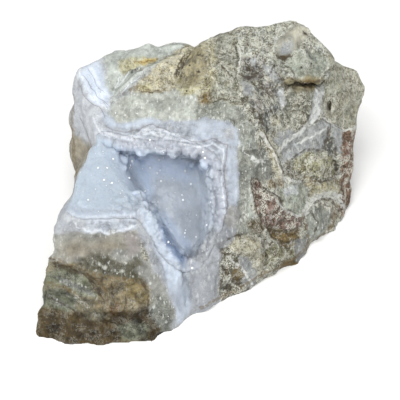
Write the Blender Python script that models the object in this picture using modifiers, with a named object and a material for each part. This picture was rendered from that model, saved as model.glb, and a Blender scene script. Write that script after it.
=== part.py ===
"""Rough blue chalcedony: a broken lump of host rock with an open pocket lined by a crystal crust.

The stone is laid out as it is looked at. A place on it is sighted across and up on a picture plane
that leans back over the stone, together with how near the viewer it stands. Sizes are millimetres
until the finished meshes are brought to metres.
"""

import math

import bmesh
import bpy
import numpy as np
from mathutils import Matrix, Vector, noise
from mathutils.bvhtree import BVHTree

MM = 0.001

# The viewer looks down on the stone at this angle, from this far away.
LOOK_DOWN = math.radians(40.0)
SIGHT_DISTANCE = 600.0
PICTURE_NEAR = 10.0

# The picture plane's middle stands this high over the surface the stone rests on.
LIFT = 12.0

# The base is modelled this much too deep and is then cut flat by a block of this size.
BASE_OVERCUT = 2.0
BASE_BLOCK = Vector((200.0, 200.0, 40.0))
FOOT_ROUNDS = 6

# The middle of the finished stone's footprint, which becomes the origin.
MIDDLE = Vector((1.8, -2.6, 0.0))

# How finely the rock and the pocket are roughed out, and how many triangles each keeps.
ROCK_VOXEL = 1.0
ROCK_SMOOTHING = 3
ROCK_TRIANGLES = 5600
POCKET_VOXEL = 0.9
POCKET_SMOOTHING = 3
POCKET_TRIANGLES = 1400
CRUST_TRIANGLES = 4200

# The broken surface of the rock: how high it swells and how far apart, from broad to fine.
BROAD_HEIGHT, BROAD_SPACING = 0.9, 15.0
MIDDLE_HEIGHT, MIDDLE_SPACING = 1.4, 7.0
CHIP_HEIGHT, CHIP_SPACING = 0.9, 9.0
CHIP_MEAN = 1.1

# The layers of that noise: how fast they weaken, how much finer each one is, and how many.
MIDDLE_LAYERS = (0.9, 2.1, 3)
WAVE_LAYERS = (1.0, 2.0, 3)

# The chips' layers have two numbers more: how high the ridges start, and how sharp they are.
CHIP_LAYERS = (1.0, 2.0, 3, 1.0, 1.5)

# The rock is calmer than elsewhere within the first distance of the pocket, up to the second.
CALM_WITHIN, CALM_UNTIL = 3.0, 10.0
CALM_SHARE = 0.2

# The crystal crust that lines the pocket, and the rounded lobes it grew in.
CRUST_GAP = 0.3
CRUST_THICKNESS = 2.8
CRUST_LOBE = 3.2
CRUST_LOBE_HEIGHT = 1.1
LOBE_MEAN = 0.5
LOBE_STEEPNESS = 1.3
POCKET_WAVE_HEIGHT, POCKET_WAVE_SPACING = 0.7, 9.0

# The colours and the roughness of the two pieces.
ROCK_COLOUR, ROCK_ROUGHNESS = (0.42, 0.40, 0.31), 0.85
CRUST_COLOUR, CRUST_ROUGHNESS = (0.62, 0.68, 0.80), 0.3

# How quickly a round swelling falls off towards its radius.
LUMP_STEEPNESS = 1.4

# Round swellings and hollows of the rock. Each is sighted at the first two numbers, across and up,
# and has a radius and a height, which is below zero for a hollow.
LUMPS = {
    "crown": (31.0, 39.0, 7.0, 1.7),
    "pale nodule": (24.0, 43.4, 3.6, 2.0),
    "nodule's upper end": (27.4, 47.0, 3.4, 1.3),
    "hollow beside the nodule": (23.6, 39.8, 2.6, -1.8),
    "grey hump left of the crown": (6.5, 36.0, 6.0, 2.0),
    "tan hump": (-1.0, 37.5, 4.6, 1.6),
    "hump on the skyline": (13.5, 44.0, 5.0, 1.2),
    "hollow with a purple stain": (15.0, 37.0, 3.4, -1.6),
    "dip above the pocket's right corner": (2.4, 28.0, 3.2, -1.5),
    "fragment under the crown": (27.5, 27.0, 4.6, 1.1),
    "tan fragment in the rough face": (31.8, 8.5, 5.2, 1.5),
    "grey fragment": (26.0, 1.0, 3.8, 0.8),
    "red fragment": (21.0, -3.0, 4.8, 1.0),
    "fragment at the right edge": (33.0, -6.0, 4.0, 1.2),
    "fragment at the lower edge": (22.6, -15.2, 4.2, 1.4),
    "cream fragment": (14.0, -14.0, 4.0, 1.5),
    "granular fragment": (9.0, -21.0, 3.6, 1.2),
    "dip beside the pale vein": (18.6, 15.0, 4.0, -1.0),
    "quartz over the pocket, left": (-17.0, 27.0, 5.0, 0.9),
    "quartz over the pocket, right": (-6.0, 26.0, 4.5, 0.8),
    "block, middle": (-26.0, -21.0, 5.0, 1.0),
    "block, lower right": (-15.0, -27.0, 5.0, 1.3),
    "block, left": (-38.0, -27.0, 4.0, 1.0),
}

# Long ridges and grooves: the sighted places they pass, their half width and their height.
RIDGES = {
    "crest at the upper left": (((-2.8, 42.0), (-10.4, 38.4), (-18.2, 34.2), (-24.6, 28.6)), 1.5, 1.8),
    "groove along that crest": (((-6.0, 43.6), (-14.0, 38.8), (-21.5, 33.6), (-27.0, 28.0)), 1.5, -1.5),
    "ledge under the crown": (((23.0, 32.0), (28.4, 32.4), (34.0, 33.0)), 1.4, -1.8),
    "edge of the right block": (
        ((35.2, 36.0), (34.4, 30.0), (32.4, 24.0), (28.0, 17.0), (22.4, 11.5)), 1.3, -1.1),
    "crack in the tan hump": (((-3.4, 40.6), (-5.0, 37.4), (-6.6, 34.4)), 0.9, -1.6),
    "crack right of the grey hump": (((10.2, 41.6), (10.6, 36.8), (9.8, 31.0)), 0.9, -1.3),
    "pale vein": (((16.6, 21.4), (19.6, 14.0), (23.2, 5.4)), 1.3, 1.2),
    "groove round the red fragment": (((16.6, 5.0), (17.0, -3.0), (20.6, -9.6), (27.6, -9.4)), 1.0, -1.1),
    "groove at the right edge": (((29.8, 3.4), (34.0, 1.2), (39.6, 0.4)), 1.2, -1.2),
    "groove round the cream fragment": (
        ((12.0, -10.0), (15.6, -9.6), (19.6, -12.6), (18.0, -18.6)), 1.1, -1.3),
    "step right of the pocket": (
        ((12.8, 14.0), (12.2, 0.0), (11.4, -9.6), (6.4, -12.0), (5.2, -24.0)), 1.1, -1.2),
    "seam under the pocket": (((-4.8, -18.5), (-4.0, -23.0), (-3.4, -28.0)), 1.2, -1.2),
    "block's right edge": (((-14.8, -7.0), (-14.0, -17.4), (-9.8, -23.8), (-6.6, -35.0)), 1.6, 0.8),
    "block's upper ledge": (((-42.0, -16.4), (-36.4, -18.6), (-30.6, -21.4), (-20.0, -22.0)), 1.4, 1.6),
    "block's middle ledge": (((-42.4, -23.2), (-35.6, -26.2), (-27.0, -27.0)), 1.3, 1.5),
    "block's lower groove": (((-44.4, -31.8), (-29.4, -33.0), (-16.8, -34.0)), 1.6, -1.8),
}


def world_of(face_point):
    """A point given as right, up the picture and towards the viewer, in the stone's own axes."""
    right, up, towards = face_point
    sine, cosine = math.sin(LOOK_DOWN), math.cos(LOOK_DOWN)
    return Vector((right, up * sine - towards * cosine, up * cosine + towards * sine + LIFT))


def seen(across, up, near):
    """A point sighted at across and up on the picture plane, standing near millimetres before it."""
    closer = 1.0 - (near - PICTURE_NEAR) / SIGHT_DISTANCE
    return world_of((across * closer, up * closer, near))


def foot(across, up):
    """A point sighted at across and up that lies on the base, lowered a little to be cut flat."""
    near = PICTURE_NEAR
    for _ in range(FOOT_ROUNDS):
        closer = 1.0 - (near - PICTURE_NEAR) / SIGHT_DISTANCE
        near = -(LIFT + up * closer * math.cos(LOOK_DOWN)) / math.sin(LOOK_DOWN)
    return seen(across, up, near) - Vector((0.0, 0.0, BASE_OVERCUT))


def spot(skin, across, up):
    """The place on this skin that is sighted at across and up."""
    eye = world_of((0.0, 0.0, SIGHT_DISTANCE + PICTURE_NEAR))
    sight = (seen(across, up, PICTURE_NEAR) - eye).normalized()
    place, _, _, _ = skin.ray_cast(eye, sight)
    if place is None:
        place, _, _, _ = skin.find_nearest(seen(across, up, PICTURE_NEAR))
    return place


def at(x, y, z):
    """A point given straight in the stone's own axes, for the sides that face away."""
    return Vector((x, y, z))


def lower_left_block():
    """The wedge of rock below the pocket, whose top is the pocket's sill."""
    return [
        foot(-45.6, -37.6),
        foot(-44.0, -39.4),
        foot(-36.0, -40.8),
        foot(-24.0, -41.4),
        foot(-13.0, -39.6),
        foot(-7.5, -36.6),
        foot(-2.5, -33.4),
        seen(-44.0, -28.0, 29.0),
        seen(-41.0, -14.6, 33.0),
        seen(-40.6, -7.5, 34.5),
        seen(-36.2, -1.4, 35.0),
        seen(-34.0, 4.2, 30.0),
        seen(-27.7, 16.4, 17.0),
        seen(-15.0, -2.0, 34.0),
        seen(-4.5, -19.0, 25.0),
        at(-36.0, -8.0, 0.0),
        at(-34.0, -4.0, 30.0),
        at(0.0, 0.0, 0.0),
        at(0.0, 0.0, 20.0),
    ]


def right_mass():
    """The largest part of the rock, right of the pocket and behind it."""
    return [
        foot(-8.0, -35.6),
        foot(5.6, -28.8),
        foot(17.0, -23.8),
        foot(27.5, -18.0),
        foot(36.3, -9.2),
        foot(41.0, -3.0),
        seen(42.8, 3.0, -13.0),
        seen(44.0, 12.0, -11.0),
        seen(44.4, 21.0, -9.0),
        seen(-28.0, 17.5, 18.0),
        seen(-27.0, 28.0, 13.0),
        seen(3.4, 13.0, 24.0),
        seen(12.6, 17.0, 24.5),
        seen(12.6, -8.0, 23.5),
        seen(14.0, 27.0, 21.0),
        seen(32.0, 22.0, 7.0),
        seen(33.5, 32.0, 4.5),
        seen(23.0, 31.5, 13.5),
        seen(-3.0, 39.5, 12.0),
        at(-30.0, 24.0, 36.0),
        at(-31.0, 24.0, -BASE_OVERCUT),
        at(-10.0, 36.0, -BASE_OVERCUT),
        at(22.0, 40.0, -BASE_OVERCUT),
        at(42.0, 31.0, -BASE_OVERCUT),
        at(44.0, 30.0, 28.0),
        at(26.0, 41.0, 30.0),
        at(4.0, 40.0, 30.0),
    ]


def top_mass():
    """The lumpy crown at the upper right, which overhangs the rough face below it."""
    return [
        seen(-3.0, 40.5, 12.0),
        seen(1.0, 44.4, 9.0),
        seen(7.0, 46.8, 6.0),
        seen(13.0, 48.4, 6.0),
        seen(20.0, 49.0, 6.5),
        seen(25.6, 50.2, 7.0),
        seen(30.4, 48.4, 6.5),
        seen(34.0, 44.0, 5.5),
        seen(36.0, 41.0, 4.5),
        seen(36.4, 36.5, 5.5),
        seen(34.6, 33.6, 9.0),
        seen(22.6, 33.8, 16.5),
        seen(12.0, 30.0, 21.0),
        seen(4.0, 33.0, 18.0),
        at(34.0, 34.0, 38.0),
        at(24.0, 38.0, 43.0),
        at(9.0, 40.0, 39.0),
        at(0.0, 36.0, 34.0),
    ]


def right_block():
    """The smooth-faced block behind the crown, at the right edge."""
    return [
        seen(35.4, 41.0, -2.0),
        seen(39.0, 38.8, -3.0),
        seen(43.8, 35.4, -5.0),
        seen(46.2, 32.6, -7.0),
        seen(44.9, 25.0, -8.5),
        seen(44.4, 19.5, -9.0),
        seen(33.0, 19.0, 5.0),
        seen(33.0, 33.0, 4.0),
        at(44.0, 30.0, 26.0),
        at(38.0, 34.0, 30.0),
        at(36.0, 27.0, 20.0),
        at(20.0, 36.0, 36.0),
        at(20.0, 10.0, 20.0),
    ]


def upper_left_mass():
    """The corner at the upper left, with banded chalcedony on its broken front."""
    return [
        seen(-36.1, 28.0, 5.0),
        seen(-35.6, 33.6, 7.5),
        seen(-34.6, 37.2, 8.5),
        seen(-29.6, 39.4, 7.5),
        seen(-24.0, 42.4, 5.5),
        seen(-18.0, 44.0, 4.5),
        seen(-10.0, 44.8, 4.5),
        seen(-3.5, 44.6, 7.0),
        seen(-35.6, 17.0, 3.0),
        seen(-35.2, 8.0, 1.5),
        seen(-27.4, 17.5, 17.5),
        seen(-26.6, 29.0, 14.0),
        seen(-4.0, 38.5, 13.0),
        at(-35.0, -2.0, -BASE_OVERCUT),
        at(-34.0, 20.0, -BASE_OVERCUT),
        at(-31.0, 24.0, 33.0),
        at(-14.0, 35.0, 32.0),
        at(0.0, 37.0, 33.0),
        at(0.0, 37.0, -BASE_OVERCUT),
    ]


def left_flank():
    """The side that joins the lower left block to the upper left corner, under the sill."""
    return [
        at(-37.0, -24.0, -BASE_OVERCUT),
        at(-36.0, -6.0, -BASE_OVERCUT),
        at(-34.5, 6.0, -BASE_OVERCUT),
        at(-36.5, -18.0, 18.0),
        at(-35.0, -6.0, 15.0),
        at(-34.5, 5.0, 17.0),
        at(-32.5, -17.0, 28.0),
        at(-30.0, -5.0, 27.0),
        at(-29.0, 5.0, 26.0),
        at(-15.0, 0.0, -BASE_OVERCUT),
        at(-15.0, 0.0, 20.0),
    ]


def deep_pocket():
    """The deep part of the hollow, open to the viewer."""
    return [
        seen(-24.5, 14.6, 12.0),
        seen(-19.5, 13.0, 3.0),
        seen(0.0, 12.6, 5.0),
        seen(3.0, -6.0, 8.0),
        seen(-2.5, -17.0, 8.0),
        seen(-13.0, -5.0, 2.0),
        seen(-25.5, 15.6, 60.0),
        seen(5.2, 11.2, 60.0),
        seen(6.0, -6.0, 60.0),
        seen(2.4, -13.0, 60.0),
        seen(-5.0, -21.2, 60.0),
        seen(-9.6, -14.5, 60.0),
        seen(-14.6, -3.0, 60.0),
    ]


def sill_hollow():
    """The shallow space over the sill, open to the left."""
    return [
        seen(-44.0, -4.8, 42.0),
        seen(-40.0, 2.0, 33.0),
        seen(-28.4, 16.8, 17.0),
        seen(-20.0, 8.0, 20.0),
        seen(-14.0, -1.6, 36.0),
        seen(-12.0, -5.0, 44.0),
        seen(-44.0, 2.0, 62.0),
        seen(-30.0, 16.8, 60.0),
        seen(-12.0, 13.0, 60.0),
        seen(-12.0, 13.0, 24.0),
        seen(-12.0, 2.0, 20.0),
    ]


def clear_scene():
    """Takes every object out of the scene."""
    for thing in list(bpy.data.objects):
        bpy.data.objects.remove(thing, do_unlink=True)


def new_object(name, mesh, collection):
    """An object that shows this mesh, in this collection."""
    made = bpy.data.objects.new(name, mesh)
    collection.objects.link(made)
    return made


def new_collection(name):
    """A collection in the scene."""
    made = bpy.data.collections.new(name)
    bpy.context.scene.collection.children.link(made)
    return made


def hulls_mesh(name, chunks):
    """One mesh that holds the convex hull of each chunk's corners."""
    whole = bmesh.new()
    for corners in chunks:
        hull = bmesh.new()
        for corner in corners:
            hull.verts.new(corner)
        made = bmesh.ops.convex_hull(hull, input=hull.verts)
        inside = [v for v in made["geom_interior"] if isinstance(v, bmesh.types.BMVert)]
        bmesh.ops.delete(hull, geom=inside, context="VERTS")
        bmesh.ops.recalc_face_normals(hull, faces=hull.faces)
        piece = bpy.data.meshes.new("chunk")
        hull.to_mesh(piece)
        hull.free()
        whole.from_mesh(piece)
        bpy.data.meshes.remove(piece)
    mesh = bpy.data.meshes.new(name)
    whole.to_mesh(mesh)
    whole.free()
    return mesh


def applied(name, mesh, modifiers):
    """The mesh after these modifiers, each given as its type and its settings."""
    carrier = bpy.data.objects.new("carrier", mesh)
    bpy.context.scene.collection.objects.link(carrier)
    for kind, settings in modifiers:
        modifier = carrier.modifiers.new(kind.lower(), kind)
        for setting, value in settings.items():
            setattr(modifier, setting, value)
    graph = bpy.context.evaluated_depsgraph_get()
    made = bpy.data.meshes.new_from_object(carrier.evaluated_get(graph))
    made.name = name
    bpy.data.objects.remove(carrier)
    return made


def remeshed(mesh, voxel, smoothing=0):
    """The mesh as one closed skin of even faces."""
    steps = [("REMESH", {"mode": "VOXEL", "voxel_size": voxel, "adaptivity": 0.0})]
    if smoothing:
        steps.append(("SMOOTH", {"factor": 0.5, "iterations": smoothing}))
    return applied(mesh.name, mesh, steps)


def decimated(mesh, triangles):
    """The mesh with about this many triangles, kept where the shape needs them."""
    mesh.calc_loop_triangles()
    ratio = min(1.0, triangles / len(mesh.loop_triangles))
    return applied(mesh.name, mesh, [("DECIMATE", {"ratio": ratio}), ("TRIANGULATE", {})])


def boolean(mesh, other, operation):
    """The mesh cut by, or kept within, the other one."""
    cutter = bpy.data.objects.new("cutter", other)
    bpy.context.scene.collection.objects.link(cutter)
    settings = {"operation": operation, "solver": "EXACT", "object": cutter}
    made = applied(mesh.name, mesh, [("BOOLEAN", settings)])
    bpy.data.objects.remove(cutter)
    return made


def coordinates(mesh):
    """The mesh's points, and their normals, as arrays."""
    points = np.empty(len(mesh.vertices) * 3)
    mesh.vertices.foreach_get("co", points)
    normals = np.empty(len(mesh.vertices) * 3, np.float32)
    mesh.vertex_normals.foreach_get("vector", normals)
    return points.reshape(-1, 3), normals.reshape(-1, 3).astype(float)


def displaced(mesh, height_at):
    """The mesh with each point moved along its normal by what height_at gives there."""
    points, normals = coordinates(mesh)
    heights = np.array([height_at(Vector(point)) for point in points])
    moved = points + normals * heights[:, None]
    mesh.vertices.foreach_set("co", moved.ravel())
    mesh.update()
    return mesh


def skin_of(mesh):
    """A search tree over the mesh's faces."""
    made = bmesh.new()
    made.from_mesh(mesh)
    tree = BVHTree.FromBMesh(made)
    made.free()
    return tree


def smooth_step(value, low, high):
    """0 below low and 1 above high, with a smooth rise between them."""
    share = min(1.0, max(0.0, (value - low) / (high - low)))
    return share * share * (3.0 - 2.0 * share)


def base_block():
    """A block under the surface that the stone rests on."""
    made = bmesh.new()
    bmesh.ops.create_cube(made, size=1.0)
    bmesh.ops.scale(made, vec=BASE_BLOCK, verts=made.verts)
    bmesh.ops.translate(made, vec=Vector((0.0, 0.0, -BASE_BLOCK.z / 2.0)), verts=made.verts)
    mesh = bpy.data.meshes.new("base_block")
    made.to_mesh(mesh)
    made.free()
    return mesh


def swelling(point, lumps, ridges):
    """What the lumps, hollows, ridges and grooves add up to at this point."""
    height = 0.0
    for place, radius, rise in lumps:
        height += rise * math.exp(-((point - place).length / radius) ** 2 * LUMP_STEEPNESS)
    for places, half_width, rise in ridges:
        near = min(distance_to_stretch(point, a, b) for a, b in zip(places, places[1:]))
        height += rise * math.exp(-(near / half_width) ** 2)
    return height


def distance_to_stretch(point, start, end):
    """How far the point is from the straight stretch between two places."""
    along = end - start
    share = min(1.0, max(0.0, (point - start).dot(along) / along.length_squared))
    return (point - start - along * share).length


def rock_height(point, pocket_skin, lumps, ridges):
    """How far the broken surface swells or sinks from the plain chunks."""
    broad = BROAD_HEIGHT * noise.noise(point / BROAD_SPACING)
    middle = MIDDLE_HEIGHT * noise.fractal(point / MIDDLE_SPACING, *MIDDLE_LAYERS)
    chips = CHIP_HEIGHT * (noise.ridged_multi_fractal(point / CHIP_SPACING, *CHIP_LAYERS) - CHIP_MEAN)
    _, _, _, distance = pocket_skin.find_nearest(point)
    roughness = CALM_SHARE + (1.0 - CALM_SHARE) * smooth_step(distance, CALM_WITHIN, CALM_UNTIL)
    return broad + (middle + chips) * roughness + swelling(point, lumps, ridges)


def pocket_wave(point):
    """How far the pocket's wall waves out or in."""
    return POCKET_WAVE_HEIGHT * noise.fractal(point / POCKET_WAVE_SPACING, *WAVE_LAYERS)


def lobes(point, size):
    """1 on top of each rounded lobe of this size and 0 in the creases between them."""
    distances, _ = noise.voronoi(point / size)
    return 1.0 - min(1.0, distances[0] * LOBE_STEEPNESS) ** 2


def build_rock(pocket_skin):
    """The rock before the pocket is opened, in millimetres."""
    chunks = [lower_left_block(), left_flank(), upper_left_mass(), right_mass(), top_mass(), right_block()]
    rock = remeshed(hulls_mesh("rock", chunks), ROCK_VOXEL, ROCK_SMOOTHING)
    skin = skin_of(rock)
    lumps = [(spot(skin, across, up), radius, rise) for across, up, radius, rise in LUMPS.values()]
    ridges = [([spot(skin, *place) for place in path], width, rise) for path, width, rise in RIDGES.values()]
    rock = displaced(rock, lambda point: rock_height(point, pocket_skin, lumps, ridges))
    rock = decimated(rock, ROCK_TRIANGLES)
    return boolean(rock, base_block(), "DIFFERENCE")


def build_meshes():
    """The rock's mesh and the crust's mesh, in millimetres."""
    hollow = remeshed(hulls_mesh("hollow", [deep_pocket(), sill_hollow()]), POCKET_VOXEL, POCKET_SMOOTHING)
    hollow = displaced(hollow, pocket_wave)
    pocket = displaced(hollow.copy(), lambda point: CRUST_THICKNESS)
    pocket = decimated(remeshed(pocket, POCKET_VOXEL, POCKET_SMOOTHING), POCKET_TRIANGLES)
    lobed = displaced(hollow, lambda point: CRUST_LOBE_HEIGHT * (LOBE_MEAN - lobes(point, CRUST_LOBE)))
    lobed = decimated(remeshed(lobed, POCKET_VOXEL), CRUST_TRIANGLES)

    rock = build_rock(skin_of(pocket))
    inset = displaced(pocket.copy(), lambda point: -CRUST_GAP)
    crust = boolean(boolean(inset, rock, "INTERSECT"), lobed, "DIFFERENCE")
    rock = boolean(rock, pocket, "DIFFERENCE")
    return rock, crust


def material(name, colour, roughness):
    """A plain material of this colour and roughness."""
    made = bpy.data.materials.new(name)
    made.use_nodes = True
    shader = made.node_tree.nodes["Principled BSDF"]
    shader.inputs["Base Color"].default_value = (*colour, 1.0)
    shader.inputs["Roughness"].default_value = roughness
    shader.inputs["Metallic"].default_value = 0.0
    made.diffuse_color = (*colour, 1.0)
    return made


def finish(name, mesh, collection, finish_material):
    """The finished piece, set over its footprint's middle and brought to metres."""
    mesh.transform(Matrix.Scale(MM, 4) @ Matrix.Translation(-MIDDLE))
    mesh.name = name
    mesh.materials.clear()
    mesh.materials.append(finish_material)
    return new_object(name, mesh, collection)


def main():
    """Builds the stone."""
    clear_scene()
    stone = new_collection("blue_chalcedony")
    rock, crust = build_meshes()
    rock_material = material("weathered_rock", ROCK_COLOUR, ROCK_ROUGHNESS)
    crust_material = material("blue_chalcedony", CRUST_COLOUR, CRUST_ROUGHNESS)
    finish("host_rock", rock, stone, rock_material)
    finish("crystal_crust", crust, stone, crust_material)


main()
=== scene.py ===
"""Rough blue chalcedony: the looks of a broken lump of host rock with an open, crystal-lined pocket.

Two pieces are made here, the host rock and the crystal crust that lines its pocket. Each starts
from its solid, gets a finer skin with the small relief of its minerals, and is then painted with
the minerals that show on it. On the front a mineral's area is outlined by places in the picture,
in pixels of its 400 by 400 frame. On the sides that face away the rock is made of fragments of
the same kinds. Sizes are millimetres unless a name says otherwise.
"""

import logging
import math
from dataclasses import dataclass, field
from enum import Enum

import bmesh
import bpy
import numpy as np
from mathutils import Matrix, Vector, noise
from mathutils.bvhtree import BVHTree


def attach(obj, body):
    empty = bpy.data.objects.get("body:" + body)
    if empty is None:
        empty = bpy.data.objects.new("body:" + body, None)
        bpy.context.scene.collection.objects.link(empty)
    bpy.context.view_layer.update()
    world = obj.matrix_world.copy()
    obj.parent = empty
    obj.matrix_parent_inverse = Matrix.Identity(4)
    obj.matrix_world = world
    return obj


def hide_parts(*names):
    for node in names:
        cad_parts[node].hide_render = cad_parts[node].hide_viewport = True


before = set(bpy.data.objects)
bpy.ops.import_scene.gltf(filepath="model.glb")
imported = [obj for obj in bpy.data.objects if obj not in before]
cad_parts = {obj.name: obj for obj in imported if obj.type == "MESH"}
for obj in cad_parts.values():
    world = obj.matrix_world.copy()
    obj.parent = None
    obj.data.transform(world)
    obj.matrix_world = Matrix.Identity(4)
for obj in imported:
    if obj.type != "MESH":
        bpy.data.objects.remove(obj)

MM = 0.001

# The angle between faces from which an edge is shown sharp, in degrees.
SHARP = 38.0
# Where the lamp stands that makes the crystals spark.
SPARK_FROM = (-0.42, -0.36, 0.84)
# How squarely a skin faces the viewer where named relief starts, and where it has its full height.
EDGE_ON = (0.05, 0.4)
# What stands for a place that is far from every line, in half widths.
FAR = 20.0
# How wide hollows are looked for, in steps, for the painted shade in them, how much borders darken, and how
# much the lines waver.
HOLLOW_ROUNDS = 6
BORDER_SHADE = 0.25
LINE_WAVER = 0.35

Array = np.ndarray
Place = tuple[float, float]
Path = tuple[Place, ...]
Colour = tuple[int, int, int]

log = logging.getLogger("chalcedony")


@dataclass(frozen=True)
class Sight:
    """How the stone is looked at, and where each of its points shows in the picture."""

    look_down: float = math.radians(40.0)
    distance: float = 600.0
    picture_near: float = 10.0
    lift: float = 12.0
    middle: Place = (1.8, -2.6)
    pixel: float = 0.28
    picture_middle: float = 200.0
    picture_width: float = 400.0

    def away(self) -> Array:
        """The direction from the stone to the viewer."""
        return np.array((0.0, -math.cos(self.look_down), math.sin(self.look_down)))

    def target(self) -> Array:
        """The point that the middle of the picture looks at."""
        middle = np.array((-self.middle[0], -self.middle[1], self.lift))
        return middle + self.away() * self.picture_near

    def eye(self) -> Array:
        """Where the viewer stands."""
        return self.target() + self.away() * self.distance

    def places(self, points: Array) -> Array:
        """Where points show in the picture.

        Args:
            points: One row for each point.

        Returns:
            One row of two pixel coordinates for each point, right and down.
        """
        sine = math.sin(self.look_down)
        cosine = math.cos(self.look_down)
        right = points[:, 0] + self.middle[0]
        back = points[:, 1] + self.middle[1]
        high = points[:, 2] - self.lift
        near = high * sine - back * cosine
        closer = 1.0 - (near - self.picture_near) / self.distance
        across = right / closer / self.pixel
        up = (back * sine + high * cosine) / closer / self.pixel
        return np.stack((self.picture_middle + across, self.picture_middle - up), axis=1)

    def facing(self, points: Array, normals: Array) -> Array:
        """How squarely each point of a skin faces the viewer, from -1 to 1.

        Args:
            points: One row for each point.
            normals: The skin's normal at each point.

        Returns:
            One number for each point.
        """
        sights = self.eye() - points
        sights /= np.linalg.norm(sights, axis=1)[:, None]
        return (sights * normals).sum(axis=1)

    def ray(self, place: Place) -> Vector:
        """The direction in which the viewer sees a place of the picture.

        Args:
            place: The place, in pixels.

        Returns:
            A unit vector.
        """
        across = (place[0] - self.picture_middle) * self.pixel
        up = (self.picture_middle - place[1]) * self.pixel
        upward = Vector((0.0, math.sin(self.look_down), math.cos(self.look_down)))
        to = Vector(self.target()) + Vector((across, 0.0, 0.0)) + upward * up
        return (to - Vector(self.eye())).normalized()


SIGHT = Sight()


@dataclass(frozen=True)
class Look:
    """How one mineral looks and how rough it breaks.

    Speckle is fine specks, mottle is soft patches, crystal is small faces, fragment is coarser
    pieces. Glint is how many of its grains are painted white as glints, clear is how much light goes into it.
    """

    tone: Colour
    contrast: float = 0.5
    speckle: float = 0.3
    mottle: float = 0.4
    crystal: float = 0.2
    fragment: float = 0.0
    gloss: float = 0.2
    glint: float = 0.0
    clear: float = 0.0
    relief: float = 0.3

    def row(self) -> Array:
        """All of the look as one row of numbers, with the colour made linear."""
        rest = (self.contrast, self.speckle, self.mottle, self.crystal, self.fragment, self.gloss, self.glint,
                self.clear, self.relief)
        return np.concatenate((linear(self.tone), rest))


# Where the clearness stands in a look's row.
CLEAR_AT = 10


def linear(colour: Colour) -> Array:
    """A screen colour as linear light."""
    # The curve that screens use, straight at its dark end.
    share = np.array(colour, float) / 255.0
    return np.where(share <= 0.04045, share / 12.92, ((share + 0.055) / 1.055) ** 2.4)


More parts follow.
